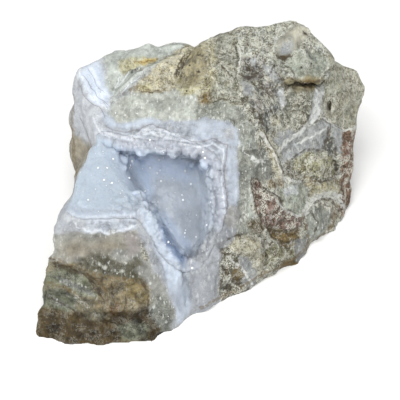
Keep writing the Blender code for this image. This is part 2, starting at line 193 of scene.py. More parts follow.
class Mineral(Enum):
    """The minerals of the stone."""

    # The five druse rows are copies of one blue druse for places in the pocket: lighter on the sill than on
    # the walls, and much darker on the shaded flank, as painted light and shade.
    BLUE_DRUSE = Look((184, 196, 212), 0.15, 0.1, 0.3, 0.1, 0.0, 0.5, 0.3, 1.0, 0.05)
    SHADED_DRUSE = Look((112, 128, 156), 0.15, 0.1, 0.3, 0.1, 0.0, 0.5, 0.1, 1.0, 0.05)
    SILL_DRUSE = Look((175, 187, 200), 0.1, 0.1, 0.15, 0.1, 0.0, 0.5, 0.5, 1.0, 0.05)
    DEEP_DRUSE = Look((182, 194, 212), 0.1, 0.05, 0.12, 0.05, 0.0, 0.5, 0.1, 1.0, 0.05)
    WALL_DRUSE = Look((166, 174, 184), 0.1, 0.1, 0.12, 0.1, 0.0, 0.5, 0.3, 1.0, 0.05)
    RING = Look((161, 166, 176), 0.2, 0.12, 0.5, 0.35, 0.0, 0.6, 0.4, 0.9, 0.15)
    LAVENDER = Look((153, 157, 163), 0.25, 0.2, 0.5, 0.4, 0.2, 0.6, 0.2, 0.9, 0.12)
    WHITE_BAND = Look((150, 156, 165), 0.4, 0.2, 0.7, 0.3, 0.2, 0.5, 0.2, 0.7, 0.15)
    MILKY = Look((138, 139, 134), 0.45, 0.1, 0.8, 0.35, 0.2, 0.5, 0.2, 0.7, 0.12)
    PALE_BLUE = Look((162, 171, 183), 0.2, 0.1, 0.5, 0.2, 0.0, 0.6, 0.1, 0.9, 0.06)
    SMOKY = Look((134, 135, 134), 0.3, 0.15, 0.6, 0.2, 0.0, 0.6, 0.0, 0.8, 0.1)
    WHITE_QUARTZ = Look((163, 167, 160), 0.4, 0.12, 0.9, 0.7, 0.2, 0.7, 0.6, 0.6, 0.15)
    GLASSY_GREEN = Look((166, 172, 166), 0.4, 0.18, 0.85, 0.6, 0.2, 0.6, 0.2, 0.7, 0.1)
    GREY_QUARTZ = Look((126, 130, 123), 0.55, 0.35, 0.9, 0.7, 0.2, 0.6, 0.5, 0.5, 0.2)
    BEIGE_QUARTZ = Look((122, 117, 104), 0.45, 0.05, 0.9, 0.1, 0.3, 0.5, 0.0, 0.6, 0.12)
    PINK_QUARTZ = Look((140, 134, 132), 0.3, 0.1, 0.6, 0.2, 0.1, 0.5, 0.1, 0.6, 0.1)
    GREEN_QUARTZ = Look((67, 65, 49), 0.6, 0.2, 0.8, 0.4, 0.3, 0.5, 0.4, 0.4, 0.2)
    YELLOW_STAIN = Look((167, 164, 133), 0.4, 0.7, 0.5, 0.3, 0.2, 0.5, 0.1, 0.3, 0.15)
    YELLOW_OLIVE = Look((145, 141, 116), 0.5, 1.0, 0.6, 0.3, 0.3, 0.3, 0.1, 0.1, 0.35)
    CREAM = Look((160, 157, 139), 0.45, 1.1, 0.4, 0.4, 0.3, 0.2, 0.0, 0.1, 0.3)
    TAN = Look((141, 137, 118), 0.5, 0.9, 0.4, 0.3, 0.2, 0.1, 0.1, 0.0, 0.3)
    SANDSTONE = Look((144, 144, 130), 0.45, 1.0, 0.2, 0.1, 0.0, 0.05, 0.0, 0.0, 0.08)
    TAN_GREEN = Look((141, 140, 116), 0.55, 1.5, 0.3, 0.2, 0.1, 0.05, 0.0, 0.0, 0.25)
    HUMP_GREY = Look((145, 146, 133), 0.5, 1.1, 0.4, 0.2, 0.2, 0.1, 0.0, 0.0, 0.3)
    CROWN_GREY = Look((153, 155, 146), 0.55, 1.3, 0.5, 0.4, 0.4, 0.15, 0.1, 0.0, 0.4)
    PURPLE_GREY = Look((115, 113, 109), 0.65, 1.1, 0.8, 0.4, 0.5, 0.3, 0.1, 0.1, 0.3)
    BLUE_GREY = Look((99, 103, 101), 0.75, 1.2, 0.6, 0.8, 0.4, 0.6, 0.3, 0.2, 0.3)
    GREY_VEIN = Look((148, 152, 153), 0.45, 0.4, 0.8, 0.4, 0.4, 0.3, 0.1, 0.2, 0.25)
    MATRIX = Look((149, 149, 140), 0.6, 1.2, 0.8, 0.5, 0.6, 0.2, 0.2, 0.0, 0.35)
    CLEAR_GREEN = Look((136, 142, 131), 0.5, 0.7, 0.7, 0.3, 0.4, 0.5, 0.1, 0.4, 0.25)
    RED = Look((119, 99, 92), 0.7, 1.7, 0.3, 0.3, 0.2, 0.15, 0.1, 0.0, 0.3)
    RED_EDGE = Look((132, 104, 88), 0.6, 1.5, 0.6, 0.3, 0.3, 0.15, 0.0, 0.0, 0.2)
    RUST = Look((112, 95, 56), 0.6, 0.8, 0.8, 0.2, 0.4, 0.25, 0.0, 0.0, 0.3)
    GRANULAR = Look((122, 120, 108), 0.7, 1.5, 0.6, 0.6, 0.6, 0.3, 0.2, 0.0, 0.35)
    OLIVE = Look((92, 87, 68), 0.75, 0.2, 1.0, 0.15, 0.8, 0.35, 0.0, 0.1, 0.25)
    GREEN_GREY = Look((84, 87, 71), 0.8, 0.25, 1.0, 0.15, 0.9, 0.2, 0.0, 0.05, 0.25)
    BLOCK_TAN = Look((100, 91, 70), 0.75, 0.25, 1.1, 0.2, 0.9, 0.3, 0.0, 0.1, 0.25)
    BLOCK_YELLOW = Look((106, 94, 60), 0.65, 0.2, 1.0, 0.15, 0.6, 0.3, 0.0, 0.1, 0.25)
    BLOCK_RUST = Look((76, 57, 28), 0.6, 0.3, 0.8, 0.1, 0.5, 0.3, 0.0, 0.0, 0.3)
    NODULE = Look((150, 148, 135), 0.35, 0.25, 0.7, 0.2, 0.0, 0.4, 0.0, 0.2, 0.1)
    BROWN = Look((70, 57, 28), 0.6, 0.25, 1.0, 0.1, 0.6, 0.2, 0.0, 0.0, 0.25)
    DARK_BASE = Look((56, 45, 23), 0.75, 0.25, 1.2, 0.05, 0.9, 0.1, 0.0, 0.0, 0.25)


@dataclass(frozen=True)
class Patch:
    """An area of one mineral on the front, outlined by places in the picture."""

    name: str
    mineral: Mineral
    outline: Path
    blur: float = 0.2
    border: float = 0.0
    shade: float = 1.0

    def row(self) -> Array:
        """The look of the patch's mineral, with the patch's own lightness."""
        row = self.mineral.value.row()
        row[:3] *= self.shade
        return row


@dataclass(frozen=True)
class Line:
    """A thin line on the front, with the places it passes and its half width."""

    name: str
    path: Path
    half_width: float


@dataclass(frozen=True)
class BeadRow:
    """A row of rounded beads: their places, how far apart, how scattered, and their sizes."""

    name: str
    path: Path
    spacing: float
    scatter: float
    sizes: Place


@dataclass(frozen=True)
class Rise:
    """A small swelling of the surface along some places, or a hollow where it is below zero."""

    name: str
    path: Path
    half_width: float
    height: float


@dataclass(frozen=True)
class Pull:
    """A part of the stone moved a little: where it shows, its reach and its shift, in pixels."""

    name: str
    place: Place
    reach: float
    shift: Place


M = Mineral

# The wide areas first, then the fragments and stains that lie over them.
# Most places are listed from the picture. Thirteen shades, and perhaps four more, still come from a
# program that compared the picture with a render. The tones above lean on figures measured in the picture
# too.
WIDE_PATCHES = (
    Patch("rough right face", M.MATRIX, (
        (238, 95), (262, 88), (325, 80), (375, 80), (375, 240), (290, 295), (215, 340), (214, 250),
        (240, 205), (242, 130)), shade=1.05),
    Patch("crown", M.CROWN_GREY, (
        (205, 44), (230, 15), (325, 5), (345, 60), (326, 84), (300, 84), (270, 86), (240, 100),
        (205, 100)), shade=1.25),
    Patch("right block", M.SANDSTONE, (
        (327, 50), (380, 55), (375, 128), (345, 128), (324, 119), (322, 86), (329, 76)), 0.3, 0.5),
    Patch("grey hump", M.HUMP_GREY, (
        (204, 44), (215, 25), (238, 22), (238, 60), (240, 104), (215, 110), (203, 100)), shade=0.95),
    Patch("glassy corner", M.GLASSY_GREEN, (
        (88, 48), (130, 38), (186, 38), (180, 50), (152, 70), (126, 86), (112, 100), (104, 88), (98, 66)),
        shade=1.05),
    Patch("tan fragment", M.TAN, (
        (131, 91), (134, 83), (150, 69), (181, 47), (200, 42), (196, 60), (182, 76), (180, 90), (160, 94),
        (145, 97)), 0.3, 0.6, shade=1.65),
    Patch("yellow and olive part", M.YELLOW_OLIVE, (
        (186, 44), (213, 40), (216, 60), (213, 90), (203, 98), (184, 90), (176, 80), (184, 62)), 0.6,
        shade=1.3),
    Patch("quartz over the pocket", M.WHITE_QUARTZ, (
        (110, 100), (128, 87), (146, 95), (178, 88), (202, 94), (207, 108), (199, 126), (160, 126),
        (120, 132), (102, 126)), 0.6),
    Patch("grey quartz right of the pocket", M.GREY_QUARTZ, (
        (194, 110), (222, 102), (246, 108), (258, 130), (254, 160), (252, 200), (257, 225), (240, 240),
        (234, 212), (237, 150), (232, 126), (200, 126)), 0.6),
    Patch("left edge", M.BEIGE_QUARTZ, (
        (55, 90), (73, 90), (75, 133), (88, 137), (94, 148), (86, 178), (79, 194), (55, 205)), 0.5,
        shade=1.25),
    Patch("upper left chalcedony", M.LAVENDER, (
        (60, 60), (90, 45), (103, 58), (108, 70), (103, 82), (113, 98), (106, 120), (106, 148), (93, 147),
        (76, 134), (62, 104)), 1.0, shade=1.25),
    Patch("chalcedony round the pocket", M.WHITE_BAND, (
        (90, 114), (104, 111), (118, 125), (150, 118), (190, 121), (205, 118), (229, 121), (238, 136),
        (239, 165), (238, 206), (233, 217), (226, 240), (220, 250), (217, 262), (219, 292), (216, 315),
        (176, 338), (177, 314), (166, 286), (152, 262), (140, 238), (120, 232), (86, 232), (66, 230),
        (56, 236), (45, 225), (66, 190), (99, 142), (94, 130)), 0.3),
    Patch("lower block", M.OLIVE, (
        (30, 258), (52, 252), (80, 262), (125, 270), (150, 262), (170, 296), (176, 318), (150, 350),
        (25, 350), (30, 300))),
)

FINE_PATCHES = (
    Patch("lavender behind the bands", M.LAVENDER, (
        (77, 96), (88, 96), (102, 112), (105, 122), (104, 146), (93, 146), (84, 126), (77, 110)), 0.8,
        shade=1.4),
    Patch("white bands", M.PALE_BLUE, (
        (79, 76), (86, 66), (100, 62), (104, 74), (106, 88), (111, 98), (108, 108), (99, 105), (90, 99),
        (84, 88)), 1.0, shade=1.45),
    Patch("frost of the corner", M.WHITE_BAND, (
        (108, 47), (118, 43), (132, 42), (128, 48), (114, 52)), 0.8, shade=1.1),
    Patch("yellow stain", M.YELLOW_STAIN, (
        (119, 60), (132, 57), (158, 58), (152, 64), (140, 66), (131, 71), (124, 76), (120, 68)), 0.5),
    Patch("brown end of the quartz", M.RUST, (
        (198, 95), (210, 92), (211, 101), (202, 108), (197, 104)), 0.7, shade=1.05),
    Patch("yellow edge of the fragment", M.YELLOW_STAIN, (
        (138, 84), (150, 84), (152, 90), (142, 92)), 0.5, shade=1.35),
    Patch("pale yellow quartz", M.YELLOW_STAIN, ((176, 88), (190, 86), (194, 94), (182, 96)), 0.6),
    Patch("olive part", M.OLIVE, (
        (187, 62), (191, 50), (205, 47), (208, 62), (204, 78), (196, 88), (182, 87), (177, 79)), 1.2,
        shade=2.0),
    Patch("grey band of the corner", M.GREY_VEIN, (
        (150, 66), (157, 66), (140, 82), (118, 102), (108, 103), (128, 84)), 0.6, shade=1.05),
    Patch("ochre of the stain", M.BLOCK_YELLOW, (
        (134, 63), (144, 60), (158, 57), (157, 61), (145, 64)), 0.3, shade=2.8),
    Patch("dark green bit", M.BLUE_GREY, ((130, 70), (141, 67), (142, 71), (131, 74)), 0.2, shade=0.7),
    Patch("mottled grey", M.CROWN_GREY, (
        (240, 62), (262, 56), (280, 66), (288, 82), (284, 128), (266, 134), (252, 126), (241, 104)),
        shade=0.8),
    Patch("purple hollow", M.PURPLE_GREY, (
        (243, 56), (262, 55), (267, 68), (258, 80), (244, 79)), 0.5, shade=0.95),
    Patch("pale splash", M.GREY_VEIN, ((242, 82), (252, 84), (256, 96), (242, 96)), 0.5, shade=0.55),
    Patch("blue grey glass", M.BLUE_GREY, (
        (254, 99), (266, 102), (276, 108), (278, 124), (268, 132), (257, 122)), 0.4, shade=0.95),
    Patch("grey fibres under the crown", M.GREY_VEIN, (
        (277, 132), (290, 128), (302, 134), (296, 144), (282, 150), (274, 142)), 0.5, shade=0.75),
    Patch("dark mottle of the crown", M.PURPLE_GREY, (
        (262, 84), (272, 80), (280, 92), (270, 100), (262, 94)), 0.5, shade=1.1),
    Patch("nodule", M.NODULE, (
        (276, 49), (280, 40), (288, 31), (298, 25), (307, 28), (309, 37), (302, 45), (294, 51), (288, 57),
        (280, 57)), 0.4, 0.3),
    Patch("nodule, cream", M.NODULE, ((292, 32), (299, 26), (307, 29), (306, 38), (298, 42)), 0.8, shade=1.6),
    Patch("nodule, grey", M.GREY_VEIN, (
        (279, 50), (283, 41), (291, 38), (294, 45), (289, 54), (282, 55)), 0.9, shade=0.8),
    Patch("shade under the nodule", M.BROWN, ((280, 55), (290, 53), (290, 61), (282, 62)), 0.5, shade=0.75),
    Patch("smooth lump", M.CLEAR_GREEN, (
        (286, 60), (300, 52), (322, 52), (327, 66), (320, 78), (296, 76)), 0.5, shade=0.95),
    Patch("upper rough fragment", M.HUMP_GREY, (
        (286, 84), (312, 87), (316, 96), (313, 112), (307, 126), (296, 133), (286, 124), (284, 100)), 0.3,
        0.2, shade=0.6),
    Patch("cream vein at the block", M.GREY_VEIN, (
        (315, 84), (325, 86), (322, 102), (318, 118), (309, 128), (312, 106)), 0.3, 0.3, shade=1.2),
    Patch("wide grey vein", M.GREY_VEIN, (
        (296, 133), (310, 125), (322, 119), (343, 128), (343, 152), (336, 156), (324, 150), (306, 152),
        (292, 160), (280, 162), (282, 146)), 0.4, shade=0.85),
    Patch("glassy triangle", M.BLUE_GREY, ((329, 128), (339, 152), (336, 161), (323, 157)), 0.35, 0.4),
    Patch("middle rough fragment", M.TAN_GREEN, (
        (293, 158), (306, 152), (324, 152), (337, 160), (335, 173), (325, 179), (308, 177), (294, 169)),
        0.3, 0.8),
    Patch("yellow rough fragment", M.YELLOW_OLIVE, (
        (307, 183), (338, 180), (341, 190), (331, 195), (311, 197)), 0.35, 0.5),
    Patch("cream eye", M.CREAM, (
        (302, 181), (306, 175), (311, 177), (313, 184), (307, 188), (303, 186)), 0.3, 0.6, shade=1.3),
    Patch("cream vein", M.CREAM, (
        (260, 130), (268, 133), (276, 146), (280, 160), (285, 178), (280, 185), (273, 170), (267, 150)),
        0.4, 0.3, shade=1.05),
    Patch("grey green fragment", M.GREY_QUARTZ, (
        (249, 150), (262, 148), (271, 160), (272, 178), (254, 182), (249, 168)), 0.35, 0.5, shade=0.65),
    Patch("yellow streak", M.RUST, ((266, 180), (284, 179), (283, 186), (268, 187)), 0.4, shade=0.8),
    Patch("clear green fragment", M.CLEAR_GREEN, (
        (281, 190), (284, 185), (298, 183), (304, 188), (309, 197), (308, 208), (300, 217), (290, 212),
        (281, 205)), 0.3, 0.6, shade=1.1),
    Patch("its pale top", M.GREY_VEIN, ((284, 187), (298, 184), (296, 194), (285, 195)), 0.35, shade=1.35),
    Patch("red fragment", M.RED, (
        (252, 178), (258, 180), (265, 191), (279, 198), (283, 208), (302, 217), (301, 225), (289, 231),
        (272, 228), (264, 225), (258, 212), (254, 198)), 0.3, 0.7, shade=0.95),
    Patch("brown foot of the red fragment", M.RUST, (
        (268, 229), (289, 232), (300, 227), (298, 238), (284, 244), (271, 239)), 0.4, 0.3),
    Patch("grey grains", M.GREY_QUARTZ, (
        (305, 210), (316, 206), (331, 209), (331, 225), (318, 238), (306, 238)), shade=0.95),
    Patch("red edge", M.RED_EDGE, (
        (342, 131), (370, 131), (375, 175), (365, 205), (346, 222), (339, 210), (340, 178), (342, 158)),
        0.4, 0.4, shade=0.7),
    Patch("fibrous cream fragment", M.CREAM, (
        (229, 240), (243, 233), (257, 238), (263, 250), (267, 262), (267, 276), (256, 273), (250, 262),
        (238, 252), (229, 251)), 0.35, 0.7, shade=0.9),
    Patch("granular foot", M.GRANULAR, (
        (216, 251), (226, 246), (238, 254), (247, 262), (252, 278), (246, 298), (222, 302), (217, 280)),
        shade=0.6),
    Patch("grey grains at the foot", M.GREY_VEIN, (
        (239, 257), (250, 259), (256, 270), (257, 286), (245, 288)), shade=0.7),
    Patch("rusty spot", M.RUST, ((230, 270), (240, 267), (244, 276), (238, 283), (231, 278)), 0.5, shade=0.6),
    Patch("lower tan fragment", M.TAN_GREEN, (
        (263, 251), (276, 244), (294, 246), (296, 258), (285, 268), (266, 272)), 0.35, 0.6, shade=0.6),
    Patch("brown lip", M.BROWN, (
        (280, 263), (298, 258), (302, 266), (290, 274), (280, 272)), 0.5, shade=1.25),
    Patch("grey fragment at the edge", M.GREY_VEIN, (
        (295, 239), (306, 236), (309, 250), (303, 265), (294, 260)), shade=0.55),
    Patch("brown grains", M.RUST, ((247, 222), (262, 220), (264, 232), (251, 237)), 0.6, shade=0.3),
    Patch("milky quartz", M.MILKY, (
        (46, 230), (66, 228), (88, 231), (110, 230), (138, 232), (142, 262), (130, 263), (100, 261),
        (75, 263), (44, 262)), 0.6, shade=0.9),
    Patch("beige quartz", M.BEIGE_QUARTZ, (
        (62, 244), (76, 238), (90, 242), (104, 236), (130, 241), (126, 252), (110, 256), (92, 258), (70, 260),
        (58, 254)), 2.6),
    Patch("pink quartz", M.PINK_QUARTZ, ((126, 233), (138, 236), (140, 252), (128, 255)), 1.2, shade=0.9),
    Patch("cream quartz", M.MILKY, (
        (112, 252), (118, 246), (127, 249), (125, 258), (117, 263), (111, 258)), 0.4, shade=0.7),
    Patch("green quartz", M.GREEN_QUARTZ, (
        (78, 259), (95, 252), (112, 258), (124, 263), (138, 257), (143, 266), (137, 279), (112, 277),
        (88, 273)), 0.9, shade=0.95),
    Patch("green bands", M.GREEN_GREY, (
        (46, 272), (64, 269), (86, 276), (102, 286), (98, 299), (80, 295), (60, 287), (46, 284)), 0.4,
        shade=1.2),
    Patch("green corner", M.GREEN_GREY, (
        (40, 290), (60, 288), (78, 298), (76, 310), (60, 313), (38, 309)), 0.5, shade=0.8),
    Patch("pale streak of the green bands", M.GREY_QUARTZ, (
        (56, 275), (72, 281), (90, 290), (98, 299), (84, 294), (64, 284)), 0.3, shade=0.6),
    Patch("second pale streak", M.GREY_QUARTZ, ((44, 294), (58, 298), (74, 308), (60, 306)), 0.3, shade=0.45),
    Patch("cream streak", M.CREAM, ((72, 292), (82, 299), (92, 309), (82, 305)), 0.25, shade=0.8),
    Patch("dark streak of the tan part", M.BLOCK_RUST, ((92, 279), (100, 286), (104, 298), (96, 292)), 0.3),
    # The ledge under the smooth lump: olive rock whose brown lobes are partly painted shadow of the overhang.
    Patch("ledge", M.OLIVE, (
        (281, 78), (290, 75), (300, 78), (309, 73), (318, 76), (325, 79), (320, 88), (310, 92), (300, 92),
        (292, 88), (284, 86)), 0.6, shade=1.45),
    Patch("brown lobes of the ledge", M.BROWN, (
        (299, 80), (307, 79), (319, 79), (317, 86), (308, 89), (300, 87)), 0.5, shade=1.6),
    Patch("wedge of the hollow", M.GREY_VEIN, ((249, 60), (256, 60), (253, 70)), 0.2, shade=1.4),
    Patch("purple patch", M.PURPLE_GREY, ((249, 98), (262, 96), (266, 108), (253, 113)), 0.4),
    Patch("cream spot", M.CREAM, ((270, 115), (278, 116), (280, 124), (271, 127)), 0.3, shade=0.8),
    Patch("pale streak of the crown", M.GREY_VEIN, (
        (260, 62), (276, 68), (282, 84), (268, 78)), 0.4, shade=0.9),
    Patch("pale wedge", M.GREY_VEIN, (
        (276, 92), (284, 88), (286, 104), (281, 110), (279, 100)), 0.3, shade=1.45),
    Patch("grey green quartz of the block", M.MILKY, (
        (136, 268), (150, 258), (164, 282), (170, 300), (152, 302), (146, 284)), 1.0, shade=0.9),
    Patch("green quartz beside the flank", M.GREY_QUARTZ, (
        (144, 292), (156, 294), (168, 296), (176, 316), (181, 334), (160, 344), (150, 330), (148, 310)),
        1.0, shade=0.65),
    Patch("tan mottles", M.BLOCK_TAN, (
        (88, 279), (104, 278), (120, 281), (136, 282), (148, 290), (150, 302), (140, 311), (110, 315),
        (92, 307), (100, 296)), 1.0, shade=1.2),
    Patch("olive yellow stain", M.BLOCK_YELLOW, (
        (122, 282), (132, 279), (143, 286), (148, 296), (148, 306), (138, 302), (128, 294)), 0.9, shade=0.9),
    Patch("dark foot", M.DARK_BASE, (
        (28, 322), (84, 321), (120, 318), (154, 317), (164, 336), (150, 352), (25, 352)), 0.8),
    Patch("rusty knob", M.BLOCK_RUST, (
        (110, 307), (116, 303), (122, 307), (120, 316), (112, 317)), 0.4, shade=1.2),
    Patch("dark corner", M.BROWN, (
        (120, 312), (138, 308), (149, 306), (151, 317), (136, 321), (112, 320)), 0.6, shade=0.6),
    Patch("grains of the foot", M.GREEN_GREY, (
        (118, 326), (134, 321), (150, 326), (146, 338), (122, 341)), 0.8, shade=0.9),
    # Brown rock, darkened in part as painted shadow under the block's ledge.
    Patch("brown ledge", M.BROWN, (
        (34, 306), (50, 307), (64, 312), (80, 312), (90, 322), (60, 324), (34, 322)), 0.6, shade=0.8),
)

CHALCEDONY_PATCHES = (
    Patch("block's pale flank", M.LAVENDER, (
        (136, 212), (147, 215), (152, 246), (162, 262), (174, 284), (184, 312), (190, 334), (170, 338),
        (176, 314), (164, 286), (150, 264), (140, 240)), 0.8, shade=0.85),
    Patch("white layer of the sill", M.WHITE_BAND, (
        (84, 216), (98, 213), (134, 212), (136, 222), (120, 229), (100, 232), (84, 230)), 0.5, shade=1.1),
    Patch("left lump of the sill", M.LAVENDER, (
        (48, 236), (58, 214), (72, 205), (86, 213), (86, 229), (70, 233)), 0.6, shade=1.05),
    Patch("white over the corner", M.PALE_BLUE, (
        (184, 121), (204, 122), (222, 122), (236, 130), (240, 144), (228, 142), (214, 132), (198, 126)),
        0.8, shade=1.05),
    Patch("lavender spot", M.LAVENDER, ((221, 128), (231, 128), (233, 138), (224, 139)), 0.8, shade=1.15),
    Patch("white over the mouth", M.PALE_BLUE, (
        (104, 114), (116, 124), (130, 121), (150, 118), (160, 121), (146, 125), (130, 128), (108, 127)),
        0.8, shade=1.2),
    Patch("blue spot", M.PALE_BLUE, ((191, 127), (208, 128), (212, 139), (196, 141)), 0.8, shade=1.1),
    Patch("blue band", M.PALE_BLUE, ((227, 150), (236, 146), (237, 205), (229, 207)), 0.6, shade=0.9),
    Patch("smoky patch", M.SMOKY, (
        (223, 207), (239, 205), (241, 222), (230, 231), (223, 222)), 0.6, shade=0.9),
    Patch("lavender lumps", M.LAVENDER, (
        (206, 212), (222, 208), (228, 229), (238, 225), (236, 240), (222, 251), (206, 246)), 0.6, shade=0.6),
    Patch("lavender face under the pocket", M.LAVENDER, (
        (186, 256), (205, 246), (221, 247), (218, 291), (223, 304), (189, 318), (189, 285)), 0.7, shade=0.85),
    Patch("blue side of the seam", M.PALE_BLUE, (
        (156, 250), (176, 262), (188, 285), (190, 306), (181, 330), (174, 298), (162, 268)), 0.8, shade=1.2),
)

GREY_LINES = (
    Line("white band's edge", (
        (83, 76), (88, 82), (90, 88), (95, 92), (97, 97), (103, 100), (108, 105)), 0.12),
    Line("white band's inner edge", ((88, 70), (93, 77), (96, 86), (103, 91)), 0.1),
    Line("under the white band", ((80, 86), (84, 96), (92, 104), (100, 108), (105, 116)), 0.15),
    Line("over the mouth", (
        (107, 127), (112, 130), (124, 132), (140, 129), (152, 124), (161, 128), (170, 131)), 0.2),
    Line("right of the mouth", (
        (181, 137), (190, 141), (201, 142), (207, 140), (213, 138), (218, 141), (223, 144), (228, 145),
        (227, 151), (225, 165), (225, 185), (228, 207)), 0.2),
    Line("upper left", ((80, 118), (86, 130), (89, 139), (92, 147)), 0.2),
)

WHITE_LINES = (
    Line("lower edge of the sill's layer", (
        (84, 229), (92, 232), (100, 230), (108, 233), (120, 231), (132, 227)), 0.5),
    Line("streaks of the corner", ((116, 88), (122, 82), (128, 74)), 0.2),
    Line("second streak of the corner", ((112, 96), (116, 86), (119, 80)), 0.2),
    Line("third streak of the corner", ((122, 92), (130, 84), (140, 77)), 0.15),
    Line("brightest band", ((82, 79), (87, 90), (94, 99), (103, 106)), 0.7),
    Line("corner band", ((90, 67), (96, 78), (101, 88), (108, 96)), 0.5),
    Line("under the roof's bands", ((108, 136), (130, 139), (150, 133), (170, 138)), 0.5),
    Line("under the grey line", (
        (105, 132), (117, 137), (129, 137), (140, 132), (152, 128), (163, 131), (172, 134), (183, 136)), 0.4),
    Line("beside the right line", (
        (184, 144), (199, 147), (207, 145), (213, 143), (220, 148), (224, 149), (222, 165), (222, 185),
        (225, 208)), 0.28),
    Line("corner's lower edge", ((93, 118), (97, 128), (102, 134)), 0.3),
)

VEINS = (
    Line("vein at the block", ((320, 86), (320, 94), (318, 104), (316, 117)), 1.25),
    Line("vein under the block", ((316, 117), (308, 125), (298, 134), (286, 142), (280, 150)), 0.7),
    Line("cream vein's spine", ((262, 133), (268, 145), (275, 154), (280, 166), (283, 178)), 0.6),
    Line("white fork, left", ((303, 214), (309, 205), (316, 198), (325, 194)), 0.7),
    Line("white fork, right", ((325, 194), (335, 197), (345, 208)), 0.8),
    Line("under the yellow fragment", ((309, 200), (318, 195), (330, 193), (341, 196)), 0.6),
    Line("under the clear fragment", ((279, 202), (286, 211), (297, 216), (307, 213)), 0.45),
    Line("beside the wide vein", ((300, 142), (312, 136), (324, 130)), 0.4),
    Line("pale, left of the red", ((252, 158), (257, 162), (262, 160)), 0.6),
    Line("over the clear fragment", ((284, 174), (290, 180), (300, 182)), 0.4),
    Line("in the granular foot", ((233, 262), (242, 268), (252, 284)), 0.4),
    Line("edge of the right block", ((324, 119), (334, 126), (345, 130), (362, 126)), 0.35),
    Line("right of the crack", ((240, 48), (241, 58), (239, 70)), 0.3),
)

# Dark cracks and marks, and a few dark lines of painted shadow under the nodule and the ledges.
CRACKS_AND_SHADOW_LINES = (
    Line("marks of the blue grey glass", ((258, 106), (262, 112), (260, 120), (266, 126)), 0.4),
    Line("second marks of the glass", ((268, 104), (272, 112), (276, 118)), 0.35),
    Line("marks under the crown", ((256, 86), (266, 90), (272, 98)), 0.35),
    Line("marks of the grey grains", ((312, 214), (318, 222), (314, 232)), 0.35),
    Line("foot of the block's dark marks", ((60, 330), (76, 334), (92, 330)), 0.45),
    Line("ridge into the tan part, dark", ((88, 277), (94, 286), (102, 297)), 0.5),
    Line("in the tan part", ((112, 286), (114, 300)), 0.45),
    Line("round the knob", ((126, 300), (125, 312), (112, 318), (106, 314)), 0.4),
    Line("in the green corner", ((46, 296), (60, 302), (72, 309), (80, 316)), 0.35),
    # Painted shadow under the brown ledge.
    Line("under the brown ledge", ((62, 319), (78, 324), (98, 325)), 0.45),
    Line("under the upper ridge", ((54, 263), (66, 269), (80, 273)), 0.45),
    Line("olive edge", ((140, 280), (148, 292), (148, 306)), 0.35),
    # Painted shadow under the nodule.
    Line("under the nodule", ((279, 57), (284, 60), (290, 57)), 0.5),
    Line("edge of the smooth lump", ((286, 66), (291, 68), (294, 74)), 0.3),
    # Painted shadow along the ledge under the smooth lump, darkest in its notches.
    Line("start of the ledge", ((281, 79), (289, 77), (296, 82)), 0.4),
    Line("ledge, left hollow", ((297, 84), (301, 82), (305, 86), (310, 83)), 0.9),
    Line("ledge, right hollow", ((312, 85), (320, 82)), 0.9),
    Line("crown's dark specks", ((256, 86), (262, 84), (266, 89), (272, 87)), 0.35),
    Line("crown's second dark specks", ((262, 77), (268, 75), (274, 66), (276, 72)), 0.35),
    Line("hollow's foot", ((243, 76), (250, 79), (257, 73)), 0.5),
    Line("hollow, left", ((246, 64), (249, 70)), 0.5),
    Line("triangle's left side", ((329, 128), (327, 138), (323, 148)), 0.5),
    Line("triangle's foot", ((324, 148), (329, 151), (337, 155)), 0.35),
    Line("beside the yellow fragment", ((318, 180), (323, 182), (332, 179)), 0.35),
    Line("under the fork", ((316, 202), (322, 199), (331, 200), (334, 204)), 0.4),
    Line("upper fragment's marks", ((303, 112), (309, 116), (305, 124), (297, 131)), 0.35),
    Line("edge of the cream vein", ((264, 131), (270, 144), (278, 156), (283, 170)), 0.25),
    Line("brown foot's top", ((268, 229), (280, 232), (292, 230), (300, 226)), 0.4),
    # Painted shade in the pit by the nodule.
    Line("pit by the nodule", ((305, 33), (306, 34)), 0.4),
    Line("beside the grey hump", ((236, 47), (238, 56), (237, 63), (235, 70)), 0.35),
    Line("in the tan fragment, left", ((184, 56), (179, 64), (175, 74)), 0.35),
    Line("in the tan fragment, right", ((190, 54), (184, 64), (177, 77)), 0.3),
    Line("under the tan fragment", ((140, 91), (150, 93), (158, 91)), 0.25),
    Line("hump's branch, upper", ((222, 66), (228, 72), (232, 76)), 0.25),
    Line("hump's branch, lower", ((214, 102), (222, 99), (230, 101)), 0.3),
    Line("over the middle fragment", ((292, 158), (302, 151), (312, 149), (322, 151)), 0.4),
    Line("right of the middle fragment", ((334, 160), (338, 166), (337, 174)), 0.45),
    Line("left of the red fragment", ((251, 182), (254, 200), (258, 214), (264, 226)), 0.3),
    Line("over the red fragment", ((260, 183), (267, 190), (279, 197), (283, 206)), 0.3),
    Line("under the red fragment", ((266, 227), (273, 238), (285, 243), (297, 238)), 0.35),
    Line("over the fibrous fragment", ((228, 239), (236, 236), (245, 233)), 0.4),
    Line("right of the fibrous fragment", ((259, 238), (264, 247), (267, 256)), 0.3),
    Line("block's upper seam", ((50, 259), (62, 265), (74, 268), (84, 272), (90, 277)), 0.4),
    Line("block's middle seam", ((86, 276), (93, 283), (99, 290)), 0.35),
    Line("block's dark nook", ((84, 272), (88, 276), (92, 277)), 0.6),
    # Painted shadow along the ledge's front.
    Line("ledge's front", ((42, 320), (60, 322), (80, 321), (100, 322), (120, 319)), 0.35),
    Line("dark corner's line", ((122, 316), (134, 316), (146, 319)), 0.45),
    Line("foot of the right block", ((322, 119), (330, 124), (342, 129)), 0.25),
)

